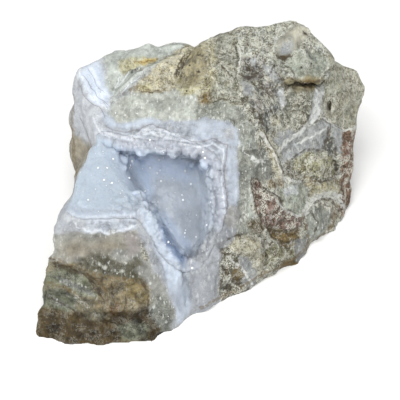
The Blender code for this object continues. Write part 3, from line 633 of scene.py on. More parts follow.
RUSTY_LINES = (
    Line("dark left border", ((73, 96), (72, 112), (72, 136), (74, 160), (76, 182)), 0.6),
    Line("ring of the cream eye", ((304, 178), (310, 177), (312, 183), (305, 187)), 0.25),
    Line("over the yellow fragment", ((309, 182), (320, 180), (338, 182)), 0.3),
    Line("ridge into the tan part", ((90, 276), (98, 281), (106, 290)), 0.5),
    Line("right of the grey grains", ((336, 206), (333, 216), (332, 226)), 0.6),
    Line("block's ridge", ((50, 257), (62, 263), (82, 270), (92, 277)), 0.7),
    Line("lower ridge", ((50, 283), (62, 286), (74, 293)), 0.5),
    Line("quartz's edge over the block", ((88, 273), (112, 278), (136, 280), (146, 287)), 0.6),
    Line("ochre, right", ((330, 207), (337, 217), (330, 226)), 0.5),
    Line("ochre, middle", ((303, 214), (308, 235), (306, 256)), 0.45),
    Line("arc under the brown foot", ((267, 228), (273, 239), (285, 246), (296, 244)), 0.45),
    Line("stain on the glassy corner", ((134, 62), (146, 62), (157, 59)), 0.3),
    Line("edge of the tan fragment", ((131, 90), (140, 86), (152, 92), (162, 91)), 0.6),
    Line("along the foot", (
        (200, 308), (216, 300), (240, 288), (262, 274), (284, 266), (310, 246), (334, 224)), 0.5),
)


def spots(name: str, radius: float, *places: Place) -> tuple[Line, ...]:
    """Round spots of one size, as lines that end where they start."""
    return tuple(Line(name, (place,), radius) for place in places)


# White grains, and white spots painted on the quartz and the block as glints.
PALE_GRAINS_AND_GLINTS = (
    spots("grain", 0.65, (105, 267), (99, 264), (122, 271))
    + spots("small grain", 0.38, (112, 270), (117, 273), (133, 276), (126, 263), (92, 258), (96, 271),
            (140, 273))
    + spots("quartz flash", 0.4, (183, 112), (127, 117), (174, 112), (133, 121), (163, 99), (142, 101),
            (134, 104))
    + spots("block's flash", 0.4, (79, 283), (86, 287), (87, 308), (155, 299), (150, 284), (158, 276))
)
# Painted shade: near black where the holes and pits are.
HOLE_AND_PIT_SHADE = (
    (Line("hole", ((330, 104), (330, 108)), 0.5),)
    + spots("pit", 0.4, (305, 33), (190, 65), (199, 72), (206, 79), (302, 68), (275, 66), (186, 91),
            (311, 64), (264, 191))
    + spots("wide pit", 0.7, (336, 165), (336, 169))
)
SMOKY_SPOTS = spots("dark spot of the layer", 0.7, (92, 222), (100, 222), (107, 223), (121, 221), (130, 223))

SMALL_RELIEF = (
    Rise("nodule", ((281, 49), (290, 40), (301, 31)), 2.0, 0.8),
    Rise("pit beside the nodule", ((305, 33),), 0.7, -1.0),
    Rise("hole in the right block", ((330, 104), (330, 108)), 0.5, -1.2),
    Rise("purple hollow", ((250, 66), (256, 70)), 1.8, -0.4),
    Rise("cracks of the tan fragment", ((186, 55), (177, 75)), 0.5, -0.5),
    Rise("ledge's bumps", ((288, 77),), 1.0, 0.6),
    Rise("ledge's first notch", ((296, 80),), 1.0, -0.5),
    Rise("ledge's second notch", ((311, 83),), 1.0, -0.5),
    Rise("ledge's last bump", ((318, 80),), 1.0, 0.5),
    Rise("under the ledge", ((288, 88), (304, 92), (320, 88)), 2.4, 0.8),
    Rise("upper rough fragment", ((292, 92), (304, 96), (300, 116)), 3.0, 0.6),
    Rise("middle rough fragment", ((302, 162), (326, 166)), 2.6, 0.7),
    Rise("yellow rough fragment", ((314, 189), (333, 187)), 1.8, 0.6),
    Rise("clear green fragment", ((291, 190), (297, 208)), 2.6, 0.8),
    Rise("red fragment", ((262, 196), (276, 212), (292, 222)), 2.8, 0.5),
    Rise("groove right of the pocket", ((246, 132), (244, 168), (246, 208)), 1.4, -0.5),
    Rise("fibrous fragment", ((238, 244), (252, 246), (260, 264)), 2.0, 0.7),
    Rise("rusty pit", ((236, 275),), 1.3, -0.9),
    Rise("lower tan fragment", ((272, 256), (288, 254)), 2.4, 0.6),
    Rise("grey fragment at the edge", ((300, 250),), 1.8, 0.5),
    Rise("clear vein hollow", ((326, 138), (334, 152)), 1.2, -0.9),
    Rise("pit over the middle fragment", ((334, 163),), 0.9, -1.2),
    Rise("block's upper ridge", ((50, 256), (64, 262), (82, 268)), 1.2, 0.5),
    Rise("nook under the ridge", ((62, 268), (84, 274), (92, 279)), 1.2, -0.7),
    Rise("block's second ridge", ((48, 281), (62, 284), (78, 292), (96, 300)), 1.5, 0.5),
    Rise("hollow under the second ridge", ((48, 290), (66, 294), (84, 304)), 1.5, -0.5),
    Rise("knob", ((116, 310),), 1.5, 0.8),
    Rise("dark nook", ((145, 314), (137, 318)), 1.3, -1.0),
    Rise("groove over the foot", ((44, 317), (84, 316), (122, 318)), 1.3, -0.7),
    Rise("left lump of the sill", ((70, 218),), 2.6, 0.5),
    Rise("smoky lump", ((231, 216),), 2.0, 0.6),
    Rise("lavender lump", ((217, 236),), 2.6, 0.6),
    Rise("lump under the pocket", ((199, 262), (202, 284)), 2.4, 0.4),
    Rise("second lump under the pocket", ((212, 268),), 1.6, 0.5),
    Rise("pits under the pocket", ((194, 276),), 0.9, -0.5),
    Rise("third lump under the pocket", ((206, 296),), 2.0, 0.5),
    Rise("foot of the red fragment", ((266, 228), (282, 236), (298, 230)), 0.9, -0.4),
    Rise("seam", ((182, 268), (187, 285), (188, 304)), 0.7, -1.0),
)

PULLS = (
    Pull("left crest", (64, 194), 14.0, (7.0, 0.0)),
    Pull("lower right edge", (288, 274), 13.0, (-6.0, 0.0)),
    Pull("left side of the foot", (46, 321), 12.0, (-4.0, 0.0)),
    Pull("left side under the sill", (50, 264), 9.0, (-4.0, 0.0)),
    Pull("bottom left corner", (46, 338), 12.0, (-4.0, 1.5)),
    Pull("lower right lip", (296, 262), 6.0, (4.0, 1.0)),
    Pull("right edge of the veins", (361, 148), 9.0, (-3.0, 0.0)),
    Pull("bottom of the foot", (164, 333), 9.0, (0.0, 4.0)),
)

# What fills the pocket's inner corners before they are rounded, and its soft right side.
CRUST_CORNERS = (
    Rise("inner edge of the sill", ((121, 154), (127, 168), (134, 184)), 2.2, 1.8),
    Rise("left corner", ((130, 168), (140, 188), (150, 206), (162, 230), (174, 252)), 3.0, 1.8),
    Rise("right corner", ((205, 172), (205, 200), (202, 222), (194, 242)), 3.2, 2.0),
)
SOFT_SIDES = (
    ((212, 172), (212, 192), (210, 215), (206, 240), (196, 250)),
    ((56, 208), (80, 210), (110, 208), (134, 203)))

# The edge of the pocket's mouth, the strip of crust that stands round it, and where crystals glint.
MOUTH = (
    (97, 138), (105, 147), (114, 150), (123, 153), (131, 156), (139, 155), (148, 147), (160, 151),
    (171, 152), (180, 157), (186, 160), (192, 164), (201, 161), (209, 165), (210, 180), (208, 210),
    (209, 232), (206, 246), (192, 252), (186, 256), (182, 267), (177, 261), (168, 248), (161, 235),
    (155, 217), (154, 204), (139, 195), (120, 203), (96, 208), (76, 208), (50, 214), (50, 190),
    (76, 160))

BEAD_ROWS = (
    BeadRow("roof lumps", (
        (108, 143), (118, 147), (130, 149), (142, 146), (150, 140), (162, 145), (174, 149), (184, 156),
        (194, 158), (208, 157)), 10.0, 1.6, (1.6, 2.4)),
    BeadRow("roof edge", (
        (105, 146), (114, 149), (123, 153), (131, 156), (139, 154), (148, 146), (160, 151), (171, 151),
        (180, 157), (186, 160), (192, 164), (201, 161), (208, 164)), 4.5, 1.6, (0.6, 1.1)),
    BeadRow("roof, behind its edge", (
        (108, 139), (130, 143), (150, 137), (170, 141), (190, 149), (208, 153)), 6.0, 3.0, (0.8, 1.5)),
    BeadRow("edge of the mouth's flank", (
        (150, 203), (154, 212), (158, 226), (164, 238), (171, 249), (179, 262)), 3.0, 1.4, (0.35, 0.8)),
    BeadRow("over the right seam", (
        (211, 152), (215, 165), (218, 180), (220, 200), (220, 218)), 4.5, 1.0, (0.9, 1.5)),
)

# Inside the pocket the patches paint light and shade on the druse: lighter where the pocket lies in shadow,
# darker in its corner, low wall, tip and shaded flank.
CRUST_PATCHES = (
    Patch("ring", M.RING, ((40, 100), (260, 100), (260, 330), (40, 330)), 0.3),
    Patch("inside of the pocket", M.WALL_DRUSE, MOUTH, 0.6),
    Patch("sill", M.SILL_DRUSE, (
        (45, 218), (45, 185), (92, 132), (118, 146), (124, 152), (134, 180), (140, 196), (138, 208),
        (128, 214), (90, 217)), 1.0),
    Patch("front of the sill", M.PALE_BLUE, (
        (50, 206), (90, 208), (134, 205), (136, 216), (50, 219)), 1.0, shade=1.1),
    Patch("mouth's blue flank", M.PALE_BLUE, (
        (134, 198), (148, 198), (156, 214), (160, 230), (170, 246), (186, 264), (184, 276), (166, 262),
        (150, 240), (140, 214)), 0.8, shade=1.15),
    # Painted light under the roof.
    Patch("under the roof", M.DEEP_DRUSE, (
        (120, 150), (208, 164), (210, 186), (170, 178), (134, 172)), 2.0, shade=1.1),
    # Painted light under the roof's left end.
    Patch("under the roof's left end", M.DEEP_DRUSE, (
        (132, 152), (150, 156), (153, 192), (147, 202), (139, 180)), 2.0, shade=1.15),
    # Painted shade in the corner.
    Patch("shaded corner", M.DEEP_DRUSE, (
        (113, 149), (126, 152), (134, 178), (139, 196), (132, 192), (120, 170)), 1.5, shade=0.85),
    # Painted light on the right wall.
    Patch("right wall", M.WALL_DRUSE, (
        (186, 170), (198, 170), (211, 176), (214, 225), (204, 240), (198, 236), (204, 215), (196, 186)),
        1.2, shade=1.45),
    # Painted shade low in the middle of the wall.
    Patch("low middle of the wall", M.WALL_DRUSE, (
        (178, 208), (200, 206), (202, 232), (190, 244), (180, 226)), 1.5, shade=0.85),
    Patch("flank beside the mouth", M.LAVENDER, (
        (212, 226), (220, 232), (216, 250), (202, 268), (190, 262), (198, 246), (206, 238)), 1.0, shade=0.85),
    # Painted shade in the tip.
    Patch("tip", M.DEEP_DRUSE, (
        (154, 210), (166, 214), (190, 244), (187, 256), (183, 266), (172, 256), (160, 232)), 1.2, shade=0.9),
    # Painted shade on the shaded side of the flank.
    Patch("shaded side of the flank", M.SHADED_DRUSE, (
        (156, 220), (160, 229), (163, 240), (171, 252), (178, 262), (183, 266), (186, 257), (174, 243),
        (167, 229)), 0.8),
)

GLINTS = (
    (98, 168), (107, 168), (113, 159), (112, 183), (104, 180), (129, 178), (132, 161), (145, 191),
    (157, 173), (159, 160), (161, 181), (150, 168), (185, 171), (182, 195), (183, 200), (191, 184),
    (196, 237), (185, 233), (207, 225), (88, 200), (168, 242), (203, 152), (205, 158), (150, 140),
    (211, 202), (192, 268), (196, 283))


def waves(points: Array, size: float, octaves: int = 1, shift: float = 0.0) -> Array:
    """Smooth noise."""
    rows = (points / size + shift).tolist()
    return np.fromiter((noise.fractal(row, 1.0, 2.0, octaves) for row in rows), float, len(rows))


@dataclass
class Cells:
    """The cells of a scattering of seeds: for each point, what is nearest to it."""

    first: Array
    second: Array
    offset: Array
    chance: Array

    @classmethod
    def around(cls, points: Array, size: float, seed: int) -> "Cells":
        """Finds the cell of each point.

        Args:
            points: One row for each point.
            size: How far apart the seeds are.
            seed: Picks one scattering.

        Returns:
            The cells, with distances and offsets as shares of the size.
        """
        scaled = points / size
        corner = np.floor(scaled).astype(np.int64)
        count = len(points)
        first = np.full(count, 9.0)
        second = np.full(count, 9.0)
        offset = np.zeros((count, 3))
        chance = np.zeros((count, 3))
        for step in np.ndindex(3, 3, 3):
            key = corner + np.array(step) - 1
            found = scattered(key, seed)
            delta = scaled - key - found
            distance = np.linalg.norm(delta, axis=1)
            nearer = distance < first
            second = np.where(nearer, first, np.minimum(second, distance))
            first = np.where(nearer, distance, first)
            offset[nearer] = delta[nearer]
            chance[nearer] = scattered(key[nearer], seed + 1)
        return cls(first, second, offset, chance)

    def facets(self) -> Array:
        """A flat facet for each cell, each tilted its own way, from about -1 to 1."""
        return (self.offset * (self.chance * 2.0 - 1.0)).sum(axis=1) * 2.0

    def domes(self) -> Array:
        """1 on top of each rounded lobe and 0 in the creases between them."""
        return 1.0 - np.minimum(1.0, self.first * 1.25) ** 2


def scattered(keys: Array, seed: int) -> Array:
    """Three even chances for each row of whole numbers, the same ones each time.

    Args:
        keys: One row of three whole numbers for each answer.
        seed: Picks one scattering.

    Returns:
        One row of three numbers from 0 to 1 for each row.
    """
    # Large odd numbers mix the bits, so that near rows get unlike chances.
    mixed = keys[:, 0] * 73856093 ^ keys[:, 1] * 19349663 ^ keys[:, 2] * 83492791
    mixed = mixed + seed * 2654435761
    answers = []
    for _ in range(3):
        mixed = (mixed ^ (mixed >> 15)) * 2246822519 & 0xFFFFFFFF
        mixed = (mixed ^ (mixed >> 13)) * 3266489917 & 0xFFFFFFFF
        mixed = mixed ^ (mixed >> 16)
        answers.append(mixed / 0xFFFFFFFF)
    return np.stack(answers, axis=1)


def smooth_step(values: Array, low: float, high: float) -> Array:
    """A smooth rise from 0 at low to 1 at high."""
    share = np.clip((values - low) / (high - low), 0.0, 1.0)
    return share * share * (3.0 - 2.0 * share)


def path_distance(places: Array, path: Path) -> Array:
    """How far places are from a path, in pixels.

    Args:
        places: One row for each place.
        path: The places that the path passes.

    Returns:
        One distance for each place, below zero on the path's left.
    """
    best = np.full(len(places), 1e9)
    sides = np.ones(len(places))
    for start, end in zip(path, path[1:] or path):
        stretch = np.subtract(end, start).astype(float)
        beside = places - np.array(start, float)
        share = np.clip(beside @ stretch / max(stretch @ stretch, 1e-9), 0.0, 1.0)
        distance = np.linalg.norm(beside - share[:, None] * stretch, axis=1)
        side = np.where(beside[:, 0] * stretch[1] - beside[:, 1] * stretch[0] > 0, -1.0, 1.0)
        nearer = distance < best
        best = np.where(nearer, distance, best)
        sides = np.where(nearer, side, sides)
    return best * sides


def inside_distance(places: Array, outline: Path) -> Array:
    """How far inside an outline places are, in pixels.

    Args:
        places: One row for each place.
        outline: The corners of the outline.

    Returns:
        One distance for each place, below zero outside.
    """
    closed = outline + outline[:1]
    inside = np.zeros(len(places), bool)
    for (ax, ay), (bx, by) in zip(closed, closed[1:]):
        if ay == by:
            continue
        crosses = (places[:, 1] > min(ay, by)) & (places[:, 1] <= max(ay, by))
        reach = ax + (places[:, 1] - ay) * (bx - ax) / (by - ay)
        inside ^= crosses & (places[:, 0] < reach)
    distance = np.abs(path_distance(places, closed))
    return np.where(inside, distance, -distance)


def close_by(places: Array, path: Path, margin: float = 10.0) -> Array:
    """Which places are near a path or an outline.

    Args:
        places: One row for each place.
        path: The path or the outline.
        margin: How near, in pixels.

    Returns:
        The numbers of those places' rows.
    """
    low = np.min(path, axis=0) - margin
    high = np.max(path, axis=0) + margin
    return np.flatnonzero(((places > low) & (places < high)).all(axis=1))


def nearest_line(places: Array, lines: tuple[Line, ...]) -> Array:
    """How far places are from the nearest of some lines, as shares of its half width.

    Args:
        places: One row for each place.
        lines: The lines.

    Returns:
        One number for each place, from -20 to 20, and 0 on a line.
    """
    best = np.full(len(places), FAR)
    for line in lines:
        near = close_by(places, line.path)
        share = path_distance(places[near], line.path) * SIGHT.pixel / line.half_width
        best[near] = np.where(np.abs(share) < np.abs(best[near]), share, best[near])
    return best


def applied(mesh: bpy.types.Mesh, kind: str, **settings: object) -> bpy.types.Mesh:
    """A mesh after one modifier.

    Args:
        mesh: The mesh.
        kind: The modifier's type.
        settings: The modifier's settings.

    Returns:
        A new mesh.
    """
    carrier = bpy.data.objects.new("carrier", mesh)
    bpy.context.scene.collection.objects.link(carrier)
    modifier = carrier.modifiers.new(kind.lower(), kind)
    for setting, value in settings.items():
        setattr(modifier, setting, value)
    graph = bpy.context.evaluated_depsgraph_get()
    made = bpy.data.meshes.new_from_object(carrier.evaluated_get(graph))
    bpy.data.objects.remove(carrier)
    return made


def read_skin(mesh: bpy.types.Mesh) -> tuple[Array, Array]:
    """The points of a mesh and their normals.

    Args:
        mesh: The mesh.

    Returns:
        Two arrays with one row for each point.
    """
    points = np.empty(len(mesh.vertices) * 3, np.float32)
    mesh.vertices.foreach_get("co", points)
    normals = np.empty(len(mesh.vertices) * 3, np.float32)
    mesh.vertex_normals.foreach_get("vector", normals)
    return points.reshape(-1, 3).astype(float), normals.reshape(-1, 3).astype(float)


def write_points(mesh: bpy.types.Mesh, points: Array) -> None:
    """Moves the points of a mesh."""
    mesh.vertices.foreach_set("co", points.astype(np.float32).ravel())
    mesh.update()


def store(mesh: bpy.types.Mesh, name: str, values: Array) -> None:
    """Keeps a number or a row of three numbers with each point, for the finish to read.

    Args:
        mesh: The mesh.
        name: What the finish knows them by.
        values: One number or one row for each point.
    """
    if values.ndim == 1:
        kept = mesh.attributes.new(name, "FLOAT", "POINT")
        kept.data.foreach_set("value", values.astype(np.float32))
        return
    kept = mesh.attributes.new(name, "FLOAT_COLOR", "POINT")
    full = np.ones((len(values), 4), np.float32)
    full[:, :3] = values
    kept.data.foreach_set("color", full.ravel())


def evened(mesh: bpy.types.Mesh, points: Array, rounds: int) -> Array:
    """Each point moved to the mean place of the points around it.

    Args:
        mesh: The mesh, for its edges.
        points: Its points.
        rounds: How wide the look around is, in steps from point to point.

    Returns:
        One row for each point.
    """
    edges = np.empty(len(mesh.edges) * 2, np.int32)
    mesh.edges.foreach_get("vertices", edges)
    start, end = edges.reshape(-1, 2).T
    count = np.bincount(edges, minlength=len(points))[:, None]
    around = points
    for _ in range(rounds):
        total = np.stack([
            np.bincount(start, around[end, axis], len(points))
            + np.bincount(end, around[start, axis], len(points))
            for axis in range(3)
        ], axis=1)
        around = 0.5 * around + 0.5 * total / count
    return around


@dataclass(frozen=True)
class SideRock:
    """The broken rock of the sides that face away: fragments of mixed minerals."""

    fragment: float = 10.5
    ragged: float = 2.4
    ragged_spacing: float = 6.0
    vein: float = 0.05
    block_until: Place = (-18.0, -8.0)
    seed: int = 11
    mix: tuple[Mineral, ...] = (
        M.TAN_GREEN, M.MATRIX, M.GREY_QUARTZ, M.TAN_GREEN, M.CROWN_GREY, M.RED, M.MATRIX, M.GREEN_GREY,
        M.GREY_VEIN, M.TAN, M.GRANULAR, M.CLEAR_GREEN)
    block: tuple[Mineral, ...] = (M.OLIVE, M.GREEN_GREY, M.BROWN, M.OLIVE, M.GREEN_QUARTZ, M.DARK_BASE)
    corner: tuple[Mineral, ...] = (M.TAN_GREEN, M.GREEN_GREY, M.TAN, M.GREY_QUARTZ, M.OLIVE)

    def rows(self, points: Array) -> tuple[Array, Array]:
        """The look of each point, and how near it is to a fragment's border.

        Args:
            points: One row for each point.

        Returns:
            One look for each point, and one number for each point that is 1 on a border.
        """
        bend = np.stack([waves(points, self.ragged_spacing, 3, 7.0 * axis) for axis in (1, 2, 3)], axis=1)
        cells = Cells.around(points + bend * self.ragged, self.fragment, self.seed)
        centre = points - cells.offset * self.fragment
        is_left = centre[:, 0] < self.block_until[0]
        is_block = is_left & (centre[:, 1] < self.block_until[1])
        looks = self.picked(self.mix, cells.chance[:, 0])
        corner = self.picked(self.corner, cells.chance[:, 0])
        block = self.picked(self.block, cells.chance[:, 0])
        looks[is_left] = corner[is_left]
        looks[is_block] = block[is_block]
        gap = cells.second - cells.first
        veined = (1.0 - smooth_step(gap, self.vein, self.vein * 2.0)) * (cells.chance[:, 1] > 0.45)
        veined = np.where(is_block, 0.0, veined)[:, None]
        looks = looks * (1.0 - veined) + M.GREY_VEIN.value.row() * veined
        return looks, 1.0 - smooth_step(gap, 0.0, 0.06)

    @staticmethod
    def picked(choices: tuple[Mineral, ...], chance: Array) -> Array:
        """One look for each chance."""
        table = np.stack([mineral.value.row() for mineral in choices])
        return table[np.minimum((chance * len(choices)).astype(int), len(choices) - 1)]


@dataclass(frozen=True)
class Painting:
    """Which mineral shows where, on the front by its patches and elsewhere by the side rock."""

    patches: tuple[Patch, ...]
    ground: Mineral
    ragged: float = 1.5
    ragged_spacing: float = 3.0
    fine_ragged: float = 0.5
    fine_spacing: float = 0.9
    front_from: float = 0.02
    front_until: float = 0.14
    sides: SideRock | None = None

    def wavered(self, points: Array, share: float = 1.0) -> Array:
        """Where points show in the picture, each shifted a little so that edges come out ragged.

        Args:
            points: One row for each point.
            share: How much of the shift is wanted.

        Returns:
            One row of two pixel coordinates for each point.
        """
        places = SIGHT.places(points)
        for axis in (0, 1):
            coarse = waves(points, self.ragged_spacing, 2, 3.0 + 5.0 * axis) * self.ragged
            fine = waves(points, self.fine_spacing, 1, 9.0 + 5.0 * axis) * self.fine_ragged
            places[:, axis] += (coarse + fine) * share / SIGHT.pixel * 0.5
        return places

    def paint(self, points: Array, normals: Array) -> tuple[Array, Array]:
        """The look of each point of a skin, and how near it is to a fragment's border.

        Args:
            points: One row for each point.
            normals: Their normals.

        Returns:
            One look for each point, and one number for each point that is 1 on a border.
        """
        places = self.wavered(points)
        looks = np.tile(self.ground.value.row(), (len(points), 1))
        border = np.zeros(len(points))
        for patch in self.patches:
            near = close_by(places, patch.outline)
            depth = inside_distance(places[near], patch.outline) * SIGHT.pixel
            share = smooth_step(depth, -patch.blur, patch.blur)
            looks[near] += (patch.row() - looks[near]) * share[:, None]
            edge = patch.border * (1.0 - smooth_step(np.abs(depth), 0.1, 0.7))
            border[near] = np.maximum(border[near] * (1.0 - share), edge)
        if self.sides is None:
            return looks, border
        facing = SIGHT.facing(points, normals) + waves(points, self.ragged_spacing, 2, 21.0) * 0.1
        front = smooth_step(facing, self.front_from, self.front_until)
        side_looks, side_border = self.sides.rows(points)
        looks = side_looks + (looks - side_looks) * front[:, None]
        return looks, side_border + (border - side_border) * front


class Wiring:
    """Adds nodes to one material and joins them up."""

    def __init__(self, name: str) -> None:
        """Starts a material.

        Args:
            name: The material's name.
        """
        self.material = bpy.data.materials.new(name)
        self.material.use_nodes = True
        self.tree = self.material.node_tree
        self.shader = self.tree.nodes["Principled BSDF"]
        self.coordinates = self.tree.nodes.new("ShaderNodeTexCoord").outputs["Object"]

    def put(self, socket: bpy.types.NodeSocket, value: object) -> None:
        """Gives an input a value, or joins it to an output.

        Args:
            socket: The input.
            value: A number, a colour or an output.
        """
        if isinstance(value, bpy.types.NodeSocket):
            self.tree.links.new(value, socket)
        else:
            socket.default_value = value

    def math(self, operation: str, first: object, second: object = 0.0) -> bpy.types.NodeSocket:
        """One sum.

        Args:
            operation: Its kind.
            first: A number or an output.
            second: A number or an output.

        Returns:
            The answer's output.
        """
        node = self.tree.nodes.new("ShaderNodeMath")
        node.operation = operation
        self.put(node.inputs[0], first)
        self.put(node.inputs[1], second)
        return node.outputs[0]

    def added(self, *parts: object) -> bpy.types.NodeSocket:
        """The sum of some numbers or outputs."""
        total = parts[0]
        for part in parts[1:]:
            total = self.math("ADD", total, part)
        return total

    def times(self, first: object, second: object) -> bpy.types.NodeSocket:
        """The product of two numbers or outputs."""
        return self.math("MULTIPLY", first, second)

    def swing(self, value: object, gain: float) -> bpy.types.NodeSocket:
        """A value from 0 to 1 as a swing about zero, that many times as strong."""
        return self.times(self.math("SUBTRACT", value, 0.5), gain)

    def step(self, value: object, low: float, high: float) -> bpy.types.NodeSocket:
        """A smooth rise of a value from 0 at low to 1 at high.

        Args:
            value: A number or an output.
            low: Where the rise starts.
            high: Where it ends.

        Returns:
            The answer's output.
        """
        node = self.tree.nodes.new("ShaderNodeMapRange")
        node.interpolation_type = "SMOOTHSTEP"
        self.put(node.inputs["Value"], value)
        if low > high:
            low, high = high, low
            node.inputs["To Min"].default_value = 1.0
            node.inputs["To Max"].default_value = 0.0
        node.inputs["From Min"].default_value = low
        node.inputs["From Max"].default_value = high
        return node.outputs["Result"]

    def mixed(self, share: object, under: object, over: object, blend: str = "MIX") -> bpy.types.NodeSocket:
        """One colour over another.

        Args:
            share: How much of the colour on top shows.
            under: The colour below.
            over: The colour on top.
            blend: How the two are put together.

        Returns:
            The answer's output.
        """
        node = self.tree.nodes.new("ShaderNodeMix")
        node.data_type = "RGBA"
        node.blend_type = blend
        node.clamp_factor = True
        self.put(node.inputs[0], share)
        self.put(node.inputs[6], under)
        self.put(node.inputs[7], over)
        return node.outputs[2]

    def kept(self, name: str) -> bpy.types.Node:
        """The node that reads what is kept with each point under this name."""
        node = self.tree.nodes.new("ShaderNodeAttribute")
        node.attribute_name = name
        return node

    def three(self, name: str) -> list[bpy.types.NodeSocket]:
        """The three numbers kept with each point under this name."""
        node = self.tree.nodes.new("ShaderNodeSeparateColor")
        self.put(node.inputs[0], self.kept(name).outputs["Color"])
        return list(node.outputs)

    def cloud(self, size: float, detail: float = 3.0, roughness: float = 0.6, seed: float = 0.0,
              curl: float = 0.0, stretch: tuple[float, float, float] | None = None) -> bpy.types.NodeSocket:
        """Noise from 0 to 1.

        Args:
            size: How far apart its swells are, in millimetres.
            detail: How many finer layers it has.
            roughness: How strong those are.
            seed: Picks one noise.
            curl: How much it is bent into squiggles.
            stretch: Its fineness along three slanted directions, or nothing for an even noise.

        Returns:
            The noise's output.
        """
        place = self.coordinates
        if stretch:
            slant = self.tree.nodes.new("ShaderNodeMapping")
            slant.inputs["Rotation"].default_value = (0.5, 0.6, 0.4)
            slant.inputs["Scale"].default_value = stretch
            self.put(slant.inputs["Vector"], place)
            place = slant.outputs[0]
        node = self.tree.nodes.new("ShaderNodeTexNoise")
        node.noise_dimensions = "4D"
        node.inputs["Distortion"].default_value = curl
        self.put(node.inputs["Vector"], place)
        node.inputs["W"].default_value = seed
        node.inputs["Scale"].default_value = 1.0 / (size * MM)
        node.inputs["Detail"].default_value = detail
        node.inputs["Roughness"].default_value = roughness
        return node.outputs["Fac"]

    def grey(self, value: object) -> bpy.types.NodeSocket:
        """A grey as bright as a value."""
        node = self.tree.nodes.new("ShaderNodeCombineColor")
        for socket in node.inputs[:3]:
            self.put(socket, value)
        return node.outputs[0]

    def grains(self, size: float, ragged: float) -> tuple[bpy.types.NodeSocket, bpy.types.NodeSocket]:
        """Separate grains.

        Args:
            size: How far apart they are, in millimetres.
            ragged: How ragged their borders are, as a share of the size.

        Returns:
            The distance to each one's middle, and its chance, from 0 to 1.
        """
        bend = self.tree.nodes.new("ShaderNodeTexNoise")
        self.put(bend.inputs["Vector"], self.coordinates)
        bend.inputs["Scale"].default_value = 2.0 / (size * MM)
        shift = self.tree.nodes.new("ShaderNodeVectorMath")
        shift.operation = "MULTIPLY_ADD"
        self.put(shift.inputs[0], bend.outputs["Color"])
        shift.inputs[1].default_value = (ragged * size * MM,) * 3
        self.put(shift.inputs[2], self.coordinates)
        node = self.tree.nodes.new("ShaderNodeTexVoronoi")
        self.put(node.inputs["Vector"], shift.outputs[0])
        node.inputs["Scale"].default_value = 1.0 / (size * MM)
        parts = self.tree.nodes.new("ShaderNodeSeparateColor")
        self.put(parts.inputs[0], node.outputs["Color"])
        return node.outputs["Distance"], parts.outputs[0]


@dataclass(frozen=True)
class LineInk:
    """How one set of lines shows: its colour, its strength, how broken, wavering and soft it is."""

    name: str
    lines: tuple[Line, ...]
    colour: Colour
    strength: float
    broken: float
    waver: float
    softness: float = 0.3


INKS = (
    LineInk("vein_line", VEINS, (212, 214, 210), 0.7, 0.85, 1.7),
    LineInk("rusty_line", RUSTY_LINES, (98, 78, 40), 0.55, 1.0, 1.6),
    LineInk("white_line", WHITE_LINES, (224, 229, 236), 0.55, 0.7, 1.1, 0.8),
    LineInk("grey_line", GREY_LINES, (122, 118, 122), 0.65, 0.35, 0.7, 0.5),
    LineInk("crack_and_shadow_line", CRACKS_AND_SHADOW_LINES, (58, 48, 32), 0.75, 0.85, 1.5),
    LineInk("smoky_spot", SMOKY_SPOTS, (112, 114, 120), 0.6, 0.2, 0.6, 0.6),
    LineInk("grain_and_glint_spot", PALE_GRAINS_AND_GLINTS, (196, 198, 190), 0.7, 0.3, 1.0, 0.5),
    LineInk("hole_and_pit_shade", HOLE_AND_PIT_SHADE, (34, 26, 14), 0.95, 0.1, 0.3),
)


# The colours of the marks that every mineral has: soft blotches, flecks and threads; streaks, whose pale ones
# are painted highlights; and flashes, which are painted glints.
PALE_BLOTCH: Colour = (204, 204, 196)
DARK_BLOTCH: Colour = (74, 66, 48)
DARK_FLECK: Colour = (74, 66, 44)
DARK_THREAD: Colour = (64, 54, 34)
PALE_THREAD: Colour = (208, 208, 196)
STREAK_HIGHLIGHT: Colour = (226, 230, 226)
DARK_STREAK: Colour = (78, 80, 66)
FLASH = (0.95, 0.97, 1.0, 1.0)


